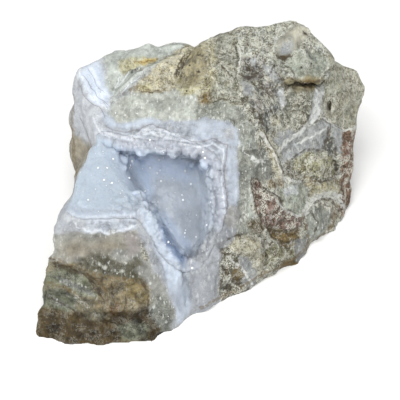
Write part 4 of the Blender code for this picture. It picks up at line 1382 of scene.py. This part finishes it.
@dataclass(frozen=True)
class StoneFinish:
    """The finish of a piece of the stone, which reads the minerals painted on it."""

    name: str
    fine: float = 0.5
    stroke: float = 1.1
    middle: float = 2.0
    broad: float = 5.0
    small_face: float = 1.1
    big_face: float = 3.2
    fleck: float = 0.42
    streak: float = 0.55
    fine_gain: float = 4.4
    stroke_gain: float = 3.0
    middle_gain: float = 4.0
    broad_gain: float = 3.0
    hue_share: float = 0.25
    face_gain: float = 0.8
    painted_shade_gain: float = 1.2
    rough_dull: float = 0.85
    rough_glossy: float = 0.1
    sheen: float = 0.35
    bump: float = 0.8
    bump_height: float = 0.3
    clear_share: float = 0.35
    clear_depth: float = 1.6
    ior: float = 1.54
    curl: float = 1.6
    cool: tuple[float, float, float] = (0.93, 1.0, 1.1)
    warm: tuple[float, float, float] = (1.1, 1.0, 0.78)

    def made(self) -> bpy.types.Material:
        """Wires the finish up.

        Returns:
            The material.
        """
        w = Wiring(self.name)
        contrast, speckle, mottle = w.three("pattern")
        crystal, fragment, gloss = w.three("faces")
        glint, clear, hollow = w.three("surface")
        fine = w.cloud(self.fine, 3.0, 0.7)
        stroke = w.cloud(self.stroke, 3.0, 0.6, 5.0, self.curl)
        middle = w.cloud(self.middle, 4.0, 0.6)
        broad = w.cloud(self.broad, 2.0, 0.5, 12.0)
        distance, face = w.grains(self.small_face, 0.35)
        _, piece = w.grains(self.big_face, 0.9)
        tone = w.added(
            w.times(speckle, w.added(w.swing(fine, self.fine_gain), w.swing(stroke, self.stroke_gain))),
            w.times(mottle, w.added(w.swing(middle, self.middle_gain), w.swing(broad, self.broad_gain))),
            w.times(crystal, w.swing(face, self.face_gain)),
            w.times(fragment, w.swing(piece, self.face_gain)),
            # Painted shade and light: hollows are darkened and ridges lightened in the colour.
            w.swing(hollow, -self.painted_shade_gain),
        )
        tone = w.math("MAXIMUM", w.math("MINIMUM", tone, 1.0), -1.0)
        strength = w.added(1.0, w.times(tone, contrast))
        colour = w.mixed(1.0, w.kept("tone").outputs["Color"], w.grey(strength), "MULTIPLY")
        warmth = w.step(w.cloud(1.7, 3.0, 0.6, 9.0), 0.38, 0.62)
        tint = w.mixed(warmth, (*self.cool, 1.0), (*self.warm, 1.0))
        colour = w.mixed(w.times(speckle, self.hue_share), colour, w.mixed(1.0, colour, tint, "MULTIPLY"))
        colour = self.flecked(w, colour, speckle, glint)
        colour = self.streaked(w, colour, crystal)
        for ink in INKS:
            colour = self.lined(w, colour, ink)
        w.put(w.shader.inputs["Base Color"], colour)
        dull = w.math("SUBTRACT", 1.0, w.added(gloss, w.swing(middle, 0.6), w.swing(face, 0.3)))
        w.put(w.shader.inputs["Roughness"],
              w.added(self.rough_glossy, w.times(w.math("MAXIMUM", dull, 0.0), self.rough_dull)))
        w.shader.inputs["IOR"].default_value = self.ior
        w.shader.inputs["Specular IOR Level"].default_value = self.sheen
        w.put(w.shader.inputs["Subsurface Weight"], w.times(clear, self.clear_share))
        w.shader.inputs["Subsurface Radius"].default_value = (0.8, 0.9, 1.0)
        w.shader.inputs["Subsurface Scale"].default_value = self.clear_depth * MM
        self.bumped(w, fine, middle, distance, speckle, crystal)
        return w.material

    def flecked(self, w: Wiring, colour: object, speckle: object, glint: object) -> bpy.types.NodeSocket:
        """The colour with small dark and pale flecks, and painted glints: white spots where faces would
        flash.

        Args:
            w: The wiring.
            colour: The colour's output.
            speckle: How speckled the mineral is.
            glint: How many of its grains are painted white as glints.

        Returns:
            The new colour's output.
        """
        spots = w.cloud(self.fleck, 2.0, 0.5)
        dark = w.times(w.step(spots, 0.58, 0.68), speckle)
        blotch = w.cloud(1.5, 4.0, 0.65, 14.0, 0.6)
        colour = w.mixed(w.times(w.times(w.step(blotch, 0.54, 0.59), speckle), 0.22), colour,
                         (*linear(PALE_BLOTCH), 1.0))
        colour = w.mixed(w.times(w.times(w.step(blotch, 0.44, 0.4), speckle), 0.38), colour,
                         (*linear(DARK_BLOTCH), 1.0))
        colour = w.mixed(w.times(dark, 0.8), colour, (*linear(DARK_FLECK), 1.0))
        for seed, thread_share, tone in ((3.0, 0.7, DARK_THREAD), (8.0, 0.6, PALE_THREAD)):
            thread = w.math("ABSOLUTE", w.swing(w.cloud(1.2, 3.0, 0.55, seed, self.curl), 1.0))
            here = w.step(w.cloud(2.4, 2.0, 0.5, seed + 1.0), 0.46, 0.56)
            share = w.times(w.times(w.step(thread, 0.065, 0.02), here), w.times(speckle, thread_share))
            colour = w.mixed(share, colour, (*linear(tone), 1.0))
        # Painted glints: a few grains, and the crystal points kept as flash, are mixed towards white.
        inner, chance = w.grains(0.36, 0.0)
        flash = w.times(w.step(inner, 0.5, 0.3), w.step(w.added(chance, w.times(glint, 0.02)), 1.0, 1.008))
        flash = w.math("MAXIMUM", flash, w.kept("flash").outputs["Fac"])
        return w.mixed(w.times(flash, 0.85), colour, FLASH)

    def streaked(self, w: Wiring, colour: object, crystal: object) -> bpy.types.NodeSocket:
        """The colour with the short streaks of crystal faces seen edge on: bright ones painted as highlights,
        and dark ones.

        Args:
            w: The wiring.
            colour: The colour's output.
            crystal: How crystalline the mineral is.

        Returns:
            The new colour's output.
        """
        streak = w.cloud(self.streak, 2.0, 0.5, 31.0, 0.0, (1.0, 0.45, 0.35))
        pale = w.times(w.step(streak, 0.57, 0.7), crystal)
        dark = w.times(w.step(streak, 0.42, 0.3), crystal)
        # Painted highlight: the pale streaks.
        colour = w.mixed(w.times(pale, 0.75), colour, (*linear(STREAK_HIGHLIGHT), 1.0))
        return w.mixed(w.times(dark, 0.3), colour, (*linear(DARK_STREAK), 1.0))

    def lined(self, w: Wiring, colour: object, ink: LineInk) -> bpy.types.NodeSocket:
        """The colour with one set of lines drawn on it.

        Args:
            w: The wiring.
            colour: The colour's output.
            ink: The lines.

        Returns:
            The new colour's output.
        """
        distance = w.math("ABSOLUTE", w.added(w.kept(ink.name).outputs["Fac"],
                                              w.swing(w.cloud(1.6, 2.0), ink.waver * 2.0)))
        shown = w.step(distance, 0.85 + ink.softness, 0.85 - ink.softness)
        gaps = w.step(w.cloud(1.1, 2.0), 0.38, 0.52)
        gaps = w.added(1.0 - ink.broken, w.times(gaps, ink.broken))
        share = w.times(w.times(shown, gaps), ink.strength)
        return w.mixed(share, colour, (*linear(ink.colour), 1.0))

    def bumped(self, w: Wiring, fine: object, middle: object, grain: object, speckle: object,
               crystal: object) -> None:
        """Gives the finish its fine relief.

        Args:
            w: The wiring.
            fine: The fine noise.
            middle: The coarser noise.
            grain: The distance to the middle of each grain.
            speckle: How speckled the mineral is.
            crystal: How crystalline it is.
        """
        height = w.added(w.times(w.times(fine, 1.6), w.added(speckle, 0.15)), w.times(middle, 0.3),
                         w.times(w.times(grain, -0.8), crystal))
        node = w.tree.nodes.new("ShaderNodeBump")
        node.inputs["Strength"].default_value = self.bump
        node.inputs["Distance"].default_value = self.bump_height * MM
        w.put(node.inputs["Height"], height)
        w.put(w.shader.inputs["Normal"], node.outputs["Normal"])


def dress(mesh: bpy.types.Mesh, painting: Painting, finish: StoneFinish, painted_shade_gain: float) -> None:
    """Paints a finished skin with its minerals and gives it its finish.

    Args:
        mesh: The mesh, in millimetres.
        painting: Which mineral shows where.
        finish: The finish that reads the minerals.
        painted_shade_gain: How strongly hollows are darkened and ridges lightened in the pattern, as painted
            shade and light.
    """
    points, normals = read_skin(mesh)
    looks, border = painting.paint(points, normals)
    # The crystal points kept as flash are painted near white as glints, and take no light in.
    if "flash" in mesh.attributes:
        flash = np.zeros(len(points), np.float32)
        mesh.attributes["flash"].data.foreach_get("value", flash)
        looks[flash > 0.5, CLEAR_AT] = 0.0
    # How far each point lies in a hollow, for the painted shade in the finish; borders darken too.
    hollow = ((evened(mesh, points, HOLLOW_ROUNDS) - points) * normals).sum(axis=1) * painted_shade_gain
    store(mesh, "tone", looks[:, 0:3])
    store(mesh, "pattern", looks[:, 3:6])
    store(mesh, "faces", looks[:, 6:9])
    shade = np.clip(0.5 + hollow + border * BORDER_SHADE, 0.0, 1.0)
    store(mesh, "surface", np.column_stack((looks[:, 9:11], shade)))
    front = SIGHT.facing(points, normals) > 0.0
    gentle = painting.wavered(points, LINE_WAVER)
    for ink in INKS:
        store(mesh, ink.name, np.where(front, nearest_line(gentle, ink.lines), FAR))
    mesh.materials.clear()
    mesh.materials.append(finish.made())


@dataclass(frozen=True)
class Lumps:
    """The rounded lumps round the pocket's mouth, which go on from the crust into the rock."""

    size: float = 2.6
    height: float = 0.8
    small_size: float = 1.3
    small_height: float = 0.35
    from_column: Place = (100.0, 135.0)

    def heights(self, points: Array, seam: Array) -> Array:
        """How high or low each point lies in the lumps, which only rise beside the seam.

        Args:
            points: One row for each point.
            seam: How far each is from the seam.

        Returns:
            One height for each point.
        """
        height = (Cells.around(points, self.size, 19).domes() - 0.5) * self.height
        height += (Cells.around(points, self.small_size, 29).domes() - 0.5) * self.small_height
        height = np.where(height < 0.0, height * smooth_step(seam, 0.6, 2.0), height)
        return height * smooth_step(SIGHT.places(points)[:, 0], *self.from_column)


@dataclass
class HostRock:
    """The lump of host rock: quartz, chalcedony bands and broken fragments."""

    voxel: float = 0.5
    smoothing: int = 4
    triangles: int = 190000
    broad: float = 0.35
    broad_spacing: float = 7.0
    chip: float = 4.0
    chip_height: float = 0.6
    small_chip: float = 1.8
    small_chip_height: float = 0.3
    grit_spacing: float = 0.9
    grit_height: float = 0.5
    lump_spacing: float = 2.6
    lump_height: float = 0.5
    groove: float = 0.3
    edge_relief: float = 0.25
    seam_growth: float = 0.3
    crust_reach: float = 6.5
    lumps: Lumps = Lumps()
    flat_until: float = 0.4
    painted_shade_gain: float = 3.0
    painting: Painting = field(default_factory=lambda: Painting(
        WIDE_PATCHES + FINE_PATCHES + CHALCEDONY_PATCHES, M.MATRIX, sides=SideRock()))
    finish: StoneFinish = StoneFinish("weathered_rock")

    def build(self) -> bpy.types.Object:
        """Makes the rock, in place of its solid.

        Returns:
            The piece.
        """
        mesh = solid_mesh("host_rock")
        mesh = applied(mesh, "REMESH", mode="VOXEL", voxel_size=self.voxel)
        mesh = applied(mesh, "SMOOTH", factor=0.5, iterations=self.smoothing)
        self.roughen(mesh)
        mesh = thinned(mesh, self.triangles)
        points, _ = read_skin(mesh)
        points[:, 2] = np.maximum(points[:, 2], 0.0)
        write_points(mesh, points)
        dress(mesh, self.painting, self.finish, self.painted_shade_gain)
        return placed("host_rock_skin", mesh, "host_rock")

    def roughen(self, mesh: bpy.types.Mesh) -> None:
        """Gives the skin the relief of its minerals and its named small forms.

        Args:
            mesh: The mesh, whose points are moved.
        """
        points, normals = read_skin(mesh)
        looks, border = self.painting.paint(points, normals)
        relief = looks[:, -1] * (self.edge_relief + (1.0 - self.edge_relief) * smooth_step(
            np.abs(SIGHT.facing(points, normals)), *EDGE_ON))
        chips = Cells.around(points, self.chip, 3).facets() * self.chip_height
        small = Cells.around(points, self.small_chip, 5).facets() * self.small_chip_height
        grit = waves(points, self.grit_spacing, 2, 4.0) * self.grit_height
        lumps = waves(points, self.lump_spacing, 3, 6.0) * self.lump_height
        height = relief * (chips + small + grit + lumps) + waves(points, self.broad_spacing, 2) * self.broad
        height -= border * self.groove
        height += named_relief(points, normals, SMALL_RELIEF)
        seam = near_distance("crystal_crust", points, self.crust_reach)
        height += self.seam_growth * (1.0 - smooth_step(seam, 0.6, 2.4))
        height += self.lumps.heights(points, seam) * (1.0 - smooth_step(seam, 2.0, self.crust_reach))
        height *= smooth_step(points[:, 2], 0.0, self.flat_until)
        write_points(mesh, pulled(points + normals * height[:, None]))


def solid_mesh(name: str) -> bpy.types.Mesh:
    """A copy of a solid's mesh, in millimetres, which may be changed."""
    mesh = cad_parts[name].data.copy()
    mesh.transform(Matrix.Scale(1.0 / MM, 4))
    return mesh


def thinned(mesh: bpy.types.Mesh, triangles: int) -> bpy.types.Mesh:
    """The mesh with about so many triangles, or as it is when it has no more than that.

    Args:
        mesh: The mesh.
        triangles: How many it may have.

    Returns:
        A new mesh, or the same one.
    """
    mesh.calc_loop_triangles()
    count = len(mesh.loop_triangles)
    log.info("before thinning: %d triangles", count)
    if count <= triangles:
        return mesh
    return applied(mesh, "DECIMATE", ratio=triangles / count)


def skin_of(name: str) -> BVHTree:
    """The skin of a solid, in millimetres.

    Args:
        name: The solid's node.

    Returns:
        The skin.
    """
    made = bmesh.new()
    made.from_mesh(solid_mesh(name))
    skin = BVHTree.FromBMesh(made)
    made.free()
    return skin


def near_distance(node: str, points: Array, reach: float) -> Array:
    """How far points are from a solid, up to some reach.

    Args:
        node: The solid's node.
        points: One row for each point.
        reach: The most that is looked for.

    Returns:
        One distance for each point.
    """
    skin = skin_of(node)
    found = (skin.find_nearest(row, reach)[3] for row in points.tolist())
    return np.array([reach if distance is None else distance for distance in found])


def named_relief(points: Array, normals: Array, rises: tuple[Rise, ...]) -> Array:
    """What the named swellings and hollows of the front add up to.

    Args:
        points: One row for each point.
        normals: Their normals.
        rises: The swellings and hollows.

    Returns:
        One height for each point.
    """
    places = SIGHT.places(points)
    height = np.zeros(len(points))
    for rise in rises:
        near = close_by(places, rise.path, 30.0)
        distance = path_distance(places[near], rise.path) * SIGHT.pixel
        height[near] += rise.height * np.exp(-(distance / rise.half_width) ** 2)
    return height * smooth_step(SIGHT.facing(points, normals), *EDGE_ON)


def pulled(points: Array) -> Array:
    """Points with the named parts of the stone moved.

    Args:
        points: One row for each point.

    Returns:
        One row for each point.
    """
    places = SIGHT.places(points)
    moved = points.copy()
    upward = np.array((0.0, math.sin(SIGHT.look_down), math.cos(SIGHT.look_down)))
    for pull in PULLS:
        share = np.exp(-((places - np.array(pull.place)) ** 2).sum(axis=1) / pull.reach ** 2)[:, None]
        across, down = pull.shift
        moved += share * SIGHT.pixel * (np.array((across, 0.0, 0.0)) - upward * down)
    return moved


def placed(name: str, mesh: bpy.types.Mesh, node: str) -> bpy.types.Object:
    """Brings a finished mesh to metres and lets it stand for its node.

    Args:
        name: The piece's name.
        mesh: The mesh, in millimetres.
        node: The node that it replaces.

    Returns:
        The piece.
    """
    mesh.transform(Matrix.Scale(MM, 4))
    mesh.name = name
    mesh.shade_smooth()
    mesh.set_sharp_from_angle(angle=math.radians(SHARP))
    piece = bpy.data.objects.new(name, mesh)
    bpy.context.scene.collection.objects.link(piece)
    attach(piece, "root")
    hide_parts(node)
    mesh.calc_loop_triangles()
    log.info("%s: %d triangles", name, len(mesh.loop_triangles))
    return piece


@dataclass
class CrystalCrust:
    """The crust of small crystals that lines the pocket, with rounded beads round its mouth."""

    coarse_voxel: float = 0.45
    voxel: float = 0.28
    smoothing: int = 2
    triangles: int = 180000
    growth: float = 0.3
    seam_growth: float = 0.12
    wave: float = 5.0
    wave_height: float = 0.3
    lumps: Lumps = Lumps()
    druse: float = 0.8
    druse_height: float = 0.06
    ring_druse_height: float = 0.1
    painted_shade_gain: float = 0.4
    soft_rounds: int = 360
    tip_rows: Place = (228.0, 246.0)
    rim_angle: float = 0.6
    seam_reach: float = 0.7
    seam_depth: float = 0.7
    seam_gap: float = 0.15
    seam_step: float = 0.35
    seam_radius: float = 0.85
    point_size: float = 0.2
    points: int = 110
    glint_size: float = 0.36
    seed: int = 23
    painting: Painting = field(default_factory=lambda: Painting(CRUST_PATCHES, M.BLUE_DRUSE, ragged=0.8))
    finish: StoneFinish = StoneFinish(
        "blue_chalcedony", sheen=0.5, fine_gain=2.4, middle_gain=2.4, bump=0.4, bump_height=0.12,
        clear_share=0.8, clear_depth=3.0)

    def build(self) -> bpy.types.Object:
        """Makes the crust, in place of its solid.

        Returns:
            The piece.
        """
        mesh = solid_mesh("crystal_crust")
        mesh = applied(mesh, "REMESH", mode="VOXEL", voxel_size=self.coarse_voxel)
        self.rounded(mesh)
        mesh = self.beaded(mesh)
        mesh = applied(mesh, "REMESH", mode="VOXEL", voxel_size=self.voxel)
        mesh = applied(mesh, "SMOOTH", factor=0.5, iterations=self.smoothing)
        self.roughen(mesh)
        mesh = thinned(mesh, self.triangles)
        mesh = self.crystals(mesh)
        dress(mesh, self.painting, self.finish, self.painted_shade_gain)
        return placed("crystal_crust_skin", mesh, "crystal_crust")

    def rounded(self, mesh: bpy.types.Mesh) -> None:
        """Fills and rounds the inner corners of the pocket and its soft right side.

        Args:
            mesh: The mesh, whose points are moved.
        """
        points, normals = read_skin(mesh)
        points += normals * named_relief(points, normals, CRUST_CORNERS)[:, None]
        places = SIGHT.places(points)
        depth = inside_distance(places, MOUTH) * SIGHT.pixel
        side = np.min([np.abs(path_distance(places, path)) for path in SOFT_SIDES], axis=0) * SIGHT.pixel
        soft = np.maximum(smooth_step(depth, 0.6, 3.0), 1.0 - smooth_step(side, 1.5, 3.5))
        soft *= 1.0 - 0.5 * smooth_step(places[:, 1], *self.tip_rows)
        soft *= smooth_step(near_distance("host_rock", points, 3.0), 0.7, 2.2)
        points += (evened(mesh, points, self.soft_rounds) - points) * soft[:, None]
        write_points(mesh, points)

    def seen_at(self, skin: BVHTree, place: Place) -> tuple[Vector | None, Vector | None]:
        """Where the viewer sees the crust at a place of the picture."""
        hit, normal, _, _ = skin.ray_cast(Vector(SIGHT.eye()), SIGHT.ray(place))
        return hit, normal

    def beaded(self, mesh: bpy.types.Mesh) -> bpy.types.Mesh:
        """Adds the rows of beads round the mouth.

        Args:
            mesh: The crust's mesh.

        Returns:
            A new mesh with the beads in it.
        """
        made = bmesh.new()
        made.from_mesh(mesh)
        skin = BVHTree.FromBMesh(made)
        chance = np.random.default_rng(self.seed)
        for place in self.seam_places():
            bmesh.ops.create_icosphere(
                made, subdivisions=1, radius=self.seam_radius, matrix=Matrix.Translation(place))
        for row in BEAD_ROWS:
            for place in self.along(row):
                hit, normal = self.seen_at(skin, place + chance.normal(0.0, row.scatter, 2))
                if hit is not None:
                    radius = chance.uniform(*row.sizes)
                    middle = hit - normal * radius * chance.uniform(0.4, 0.8)
                    bmesh.ops.create_icosphere(
                        made, subdivisions=2, radius=radius, matrix=Matrix.Translation(middle))
        result = bpy.data.meshes.new("beaded")
        made.to_mesh(result)
        made.free()
        return result

    def seam_places(self) -> list[Vector]:
        """The places just under the skin along the rim where the crust meets the rock."""
        rock = skin_of("host_rock")
        solid = bmesh.new()
        solid.from_mesh(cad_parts["crystal_crust"].data)
        solid.transform(Matrix.Scale(1.0 / MM, 4))
        places = []
        for edge in solid.edges:
            start, end = (vert.co for vert in edge.verts)
            middle = (start + end) / 2.0
            is_rim = edge.calc_face_angle(0.0) > self.rim_angle
            if is_rim and rock.find_nearest(middle, self.seam_reach)[3] is not None:
                wall, rim = sorted(edge.link_faces, key=lambda face: rock.find_nearest(
                    middle + face.normal * self.seam_gap)[3])
                shift = wall.normal * self.seam_gap - rim.normal * self.seam_depth
                count = max(1, round((end - start).length / self.seam_step))
                places.extend(start.lerp(end, step / count) + shift for step in range(count))
        solid.free()
        return places

    @staticmethod
    def along(row: BeadRow) -> Array:
        """Evenly spaced places along a row of beads."""
        places = []
        for start, end in zip(row.path, row.path[1:]):
            count = max(1, round(math.dist(start, end) / row.spacing))
            places.extend(np.linspace(start, end, count, endpoint=False))
        return np.array(places)

    def roughen(self, mesh: bpy.types.Mesh) -> None:
        """Gives the crust its gentle swells and its small crystal faces.

        Args:
            mesh: The mesh, whose points are moved.
        """
        points, normals = read_skin(mesh)
        depth = inside_distance(SIGHT.places(points), MOUTH) * SIGHT.pixel
        ring = 1.0 - smooth_step(depth, -0.4, 1.2)
        seam = near_distance("host_rock", points, 2.0)
        lumps = self.lumps.heights(points, seam) * (1.0 - smooth_step(depth, 0.3, 1.8))
        druse = Cells.around(points, self.druse, 17).facets()
        growth = self.growth + self.seam_growth * (1.0 - smooth_step(seam, 0.5, 1.5))
        height = growth + lumps + (1.0 - ring) * waves(points, self.wave, 2) * self.wave_height
        height += druse * (self.druse_height + (self.ring_druse_height - self.druse_height) * ring)
        write_points(mesh, pulled(points + normals * height[:, None]))

    def crystals(self, mesh: bpy.types.Mesh) -> bpy.types.Mesh:
        """Adds the larger crystal points that stand out of the crust and catch the light, marked as flash so
        that they are painted near white as glints.

        Args:
            mesh: The crust's mesh.

        Returns:
            A new mesh with the crystals in it.
        """
        made = bmesh.new()
        made.from_mesh(mesh)
        plain = len(made.verts)
        skin = BVHTree.FromBMesh(made)
        chance = np.random.default_rng(self.seed + 1)
        eye = Vector(SIGHT.eye())
        toward_spark = Vector(SPARK_FROM).normalized()
        for place in GLINTS:
            hit, _ = self.seen_at(skin, place)
            if hit is not None:
                halfway = ((eye - hit).normalized() + toward_spark).normalized()
                self.add_point(made, hit, halfway, self.glint_size * chance.uniform(0.8, 1.2), 0.3)
        for place in chance.uniform(np.min(MOUTH, axis=0), np.max(MOUTH, axis=0), (self.points, 2)):
            hit, normal = self.seen_at(skin, place)
            if hit is not None and inside_distance(place[None], MOUTH)[0] > -4.0:
                tilt = Vector(chance.normal(0.0, 0.35, 3))
                self.add_point(
                    made, hit, (normal + tilt).normalized(), self.point_size * chance.uniform(0.5, 1.2), 0.5)
        result = bpy.data.meshes.new(mesh.name)
        made.to_mesh(result)
        made.free()
        # The crystal points are kept as flash, for their painted glints.
        store(result, "flash", (np.arange(len(result.vertices)) >= plain).astype(float))
        return result

    @staticmethod
    def add_point(made: bmesh.types.BMesh, place: Vector, direction: Vector, size: float,
                  sharpness: float) -> None:
        """Adds one six-sided crystal point.

        Args:
            made: The mesh that it is added to.
            place: Where it stands.
            direction: Which way it points.
            size: Its radius.
            sharpness: 1 for a sharp point, less for one with a flat end.
        """
        turn = direction.to_track_quat("Z", "Y").to_matrix().to_4x4()
        bmesh.ops.create_cone(
            made, cap_ends=True, segments=6, radius1=size, radius2=size * (1.0 - 0.9 * sharpness), depth=size,
            matrix=Matrix.Translation(place) @ turn)


@dataclass(frozen=True)
class Lamp:
    """A soft lamp: the direction it stands in, how far away, how wide and how bright."""

    name: str
    direction: tuple[float, float, float]
    distance: float
    width: float
    watts: float
    tint: tuple[float, float, float] = (1.0, 1.0, 1.0)


@dataclass
class Studio:
    """The pale floor, the soft light and the camera."""

    floor_size: float = 4.0
    floor_colour: Colour = (250, 250, 250)
    floor_roughness: float = 0.9
    sky: float = 0.55
    aim: tuple[float, float, float] = (0.0, 0.0, 0.02)
    lamps: tuple[Lamp, ...] = (
        Lamp("key", (-0.12, -0.45, 0.88), 0.8, 0.4, 3.6, (1.0, 0.99, 0.97)),
        Lamp("spark", SPARK_FROM, 0.7, 0.05, 0.35),
        Lamp("front_fill", (0.05, -0.8, 0.6), 0.8, 0.5, 2.6),
    )

    def build(self) -> None:
        """Sets up the floor, the light and the camera."""
        self.lay_floor()
        for lamp in self.lamps:
            self.hang(lamp)
        self.light_sky()
        self.stand_camera()
        bpy.context.scene.view_settings.view_transform = "Standard"

    def lay_floor(self) -> None:
        """Lays the floor that the stone rests on."""
        made = bmesh.new()
        bmesh.ops.create_grid(made, x_segments=1, y_segments=1, size=self.floor_size / 2.0)
        mesh = bpy.data.meshes.new("floor")
        made.to_mesh(mesh)
        made.free()
        w = Wiring("floor")
        w.shader.inputs["Base Color"].default_value = (*linear(self.floor_colour), 1.0)
        w.shader.inputs["Roughness"].default_value = self.floor_roughness
        w.shader.inputs["Specular IOR Level"].default_value = 0.0
        mesh.materials.append(w.material)
        floor = bpy.data.objects.new("floor", mesh)
        bpy.context.scene.collection.objects.link(floor)

    def hang(self, lamp: Lamp) -> None:
        """Hangs one lamp.

        Args:
            lamp: The lamp.
        """
        light = bpy.data.lights.new(lamp.name, "AREA")
        light.shape = "DISK"
        light.size = lamp.width
        light.energy = lamp.watts
        light.color = lamp.tint
        hung = bpy.data.objects.new(lamp.name, light)
        away = Vector(lamp.direction).normalized()
        hung.location = Vector(self.aim) + away * lamp.distance
        hung.rotation_mode = "QUATERNION"
        hung.rotation_quaternion = away.to_track_quat("Z", "Y")
        bpy.context.scene.collection.objects.link(hung)

    def light_sky(self) -> None:
        """Gives the room its even, pale light."""
        world = bpy.data.worlds.new("sky")
        world.use_nodes = True
        background = world.node_tree.nodes["Background"]
        background.inputs["Color"].default_value = (1.0, 1.0, 1.0, 1.0)
        background.inputs["Strength"].default_value = self.sky
        bpy.context.scene.world = world

    @staticmethod
    def stand_camera() -> None:
        """Stands the camera where the stone is looked at from."""
        camera_data = bpy.data.cameras.new("camera")
        camera_data.sensor_width = 36.0
        camera_data.lens = camera_data.sensor_width * SIGHT.distance / (SIGHT.picture_width * SIGHT.pixel)
        camera_data.clip_start = 0.01
        camera_data.dof.use_dof = False
        camera = bpy.data.objects.new("camera", camera_data)
        camera.location = Vector(SIGHT.eye()) * MM
        camera.rotation_mode = "QUATERNION"
        camera.rotation_quaternion = Vector(SIGHT.away()).to_track_quat("Z", "Y")
        bpy.context.scene.collection.objects.link(camera)
        bpy.context.scene.camera = camera


def main() -> None:
    """Builds the stone and the studio."""
    logging.basicConfig(level=logging.INFO, format="%(message)s")
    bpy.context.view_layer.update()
    Studio().build()
    for part in (HostRock(), CrystalCrust()):
        piece = part.build()
        log.info("made %s", piece.name)


if __name__ == "__main__":
    main()
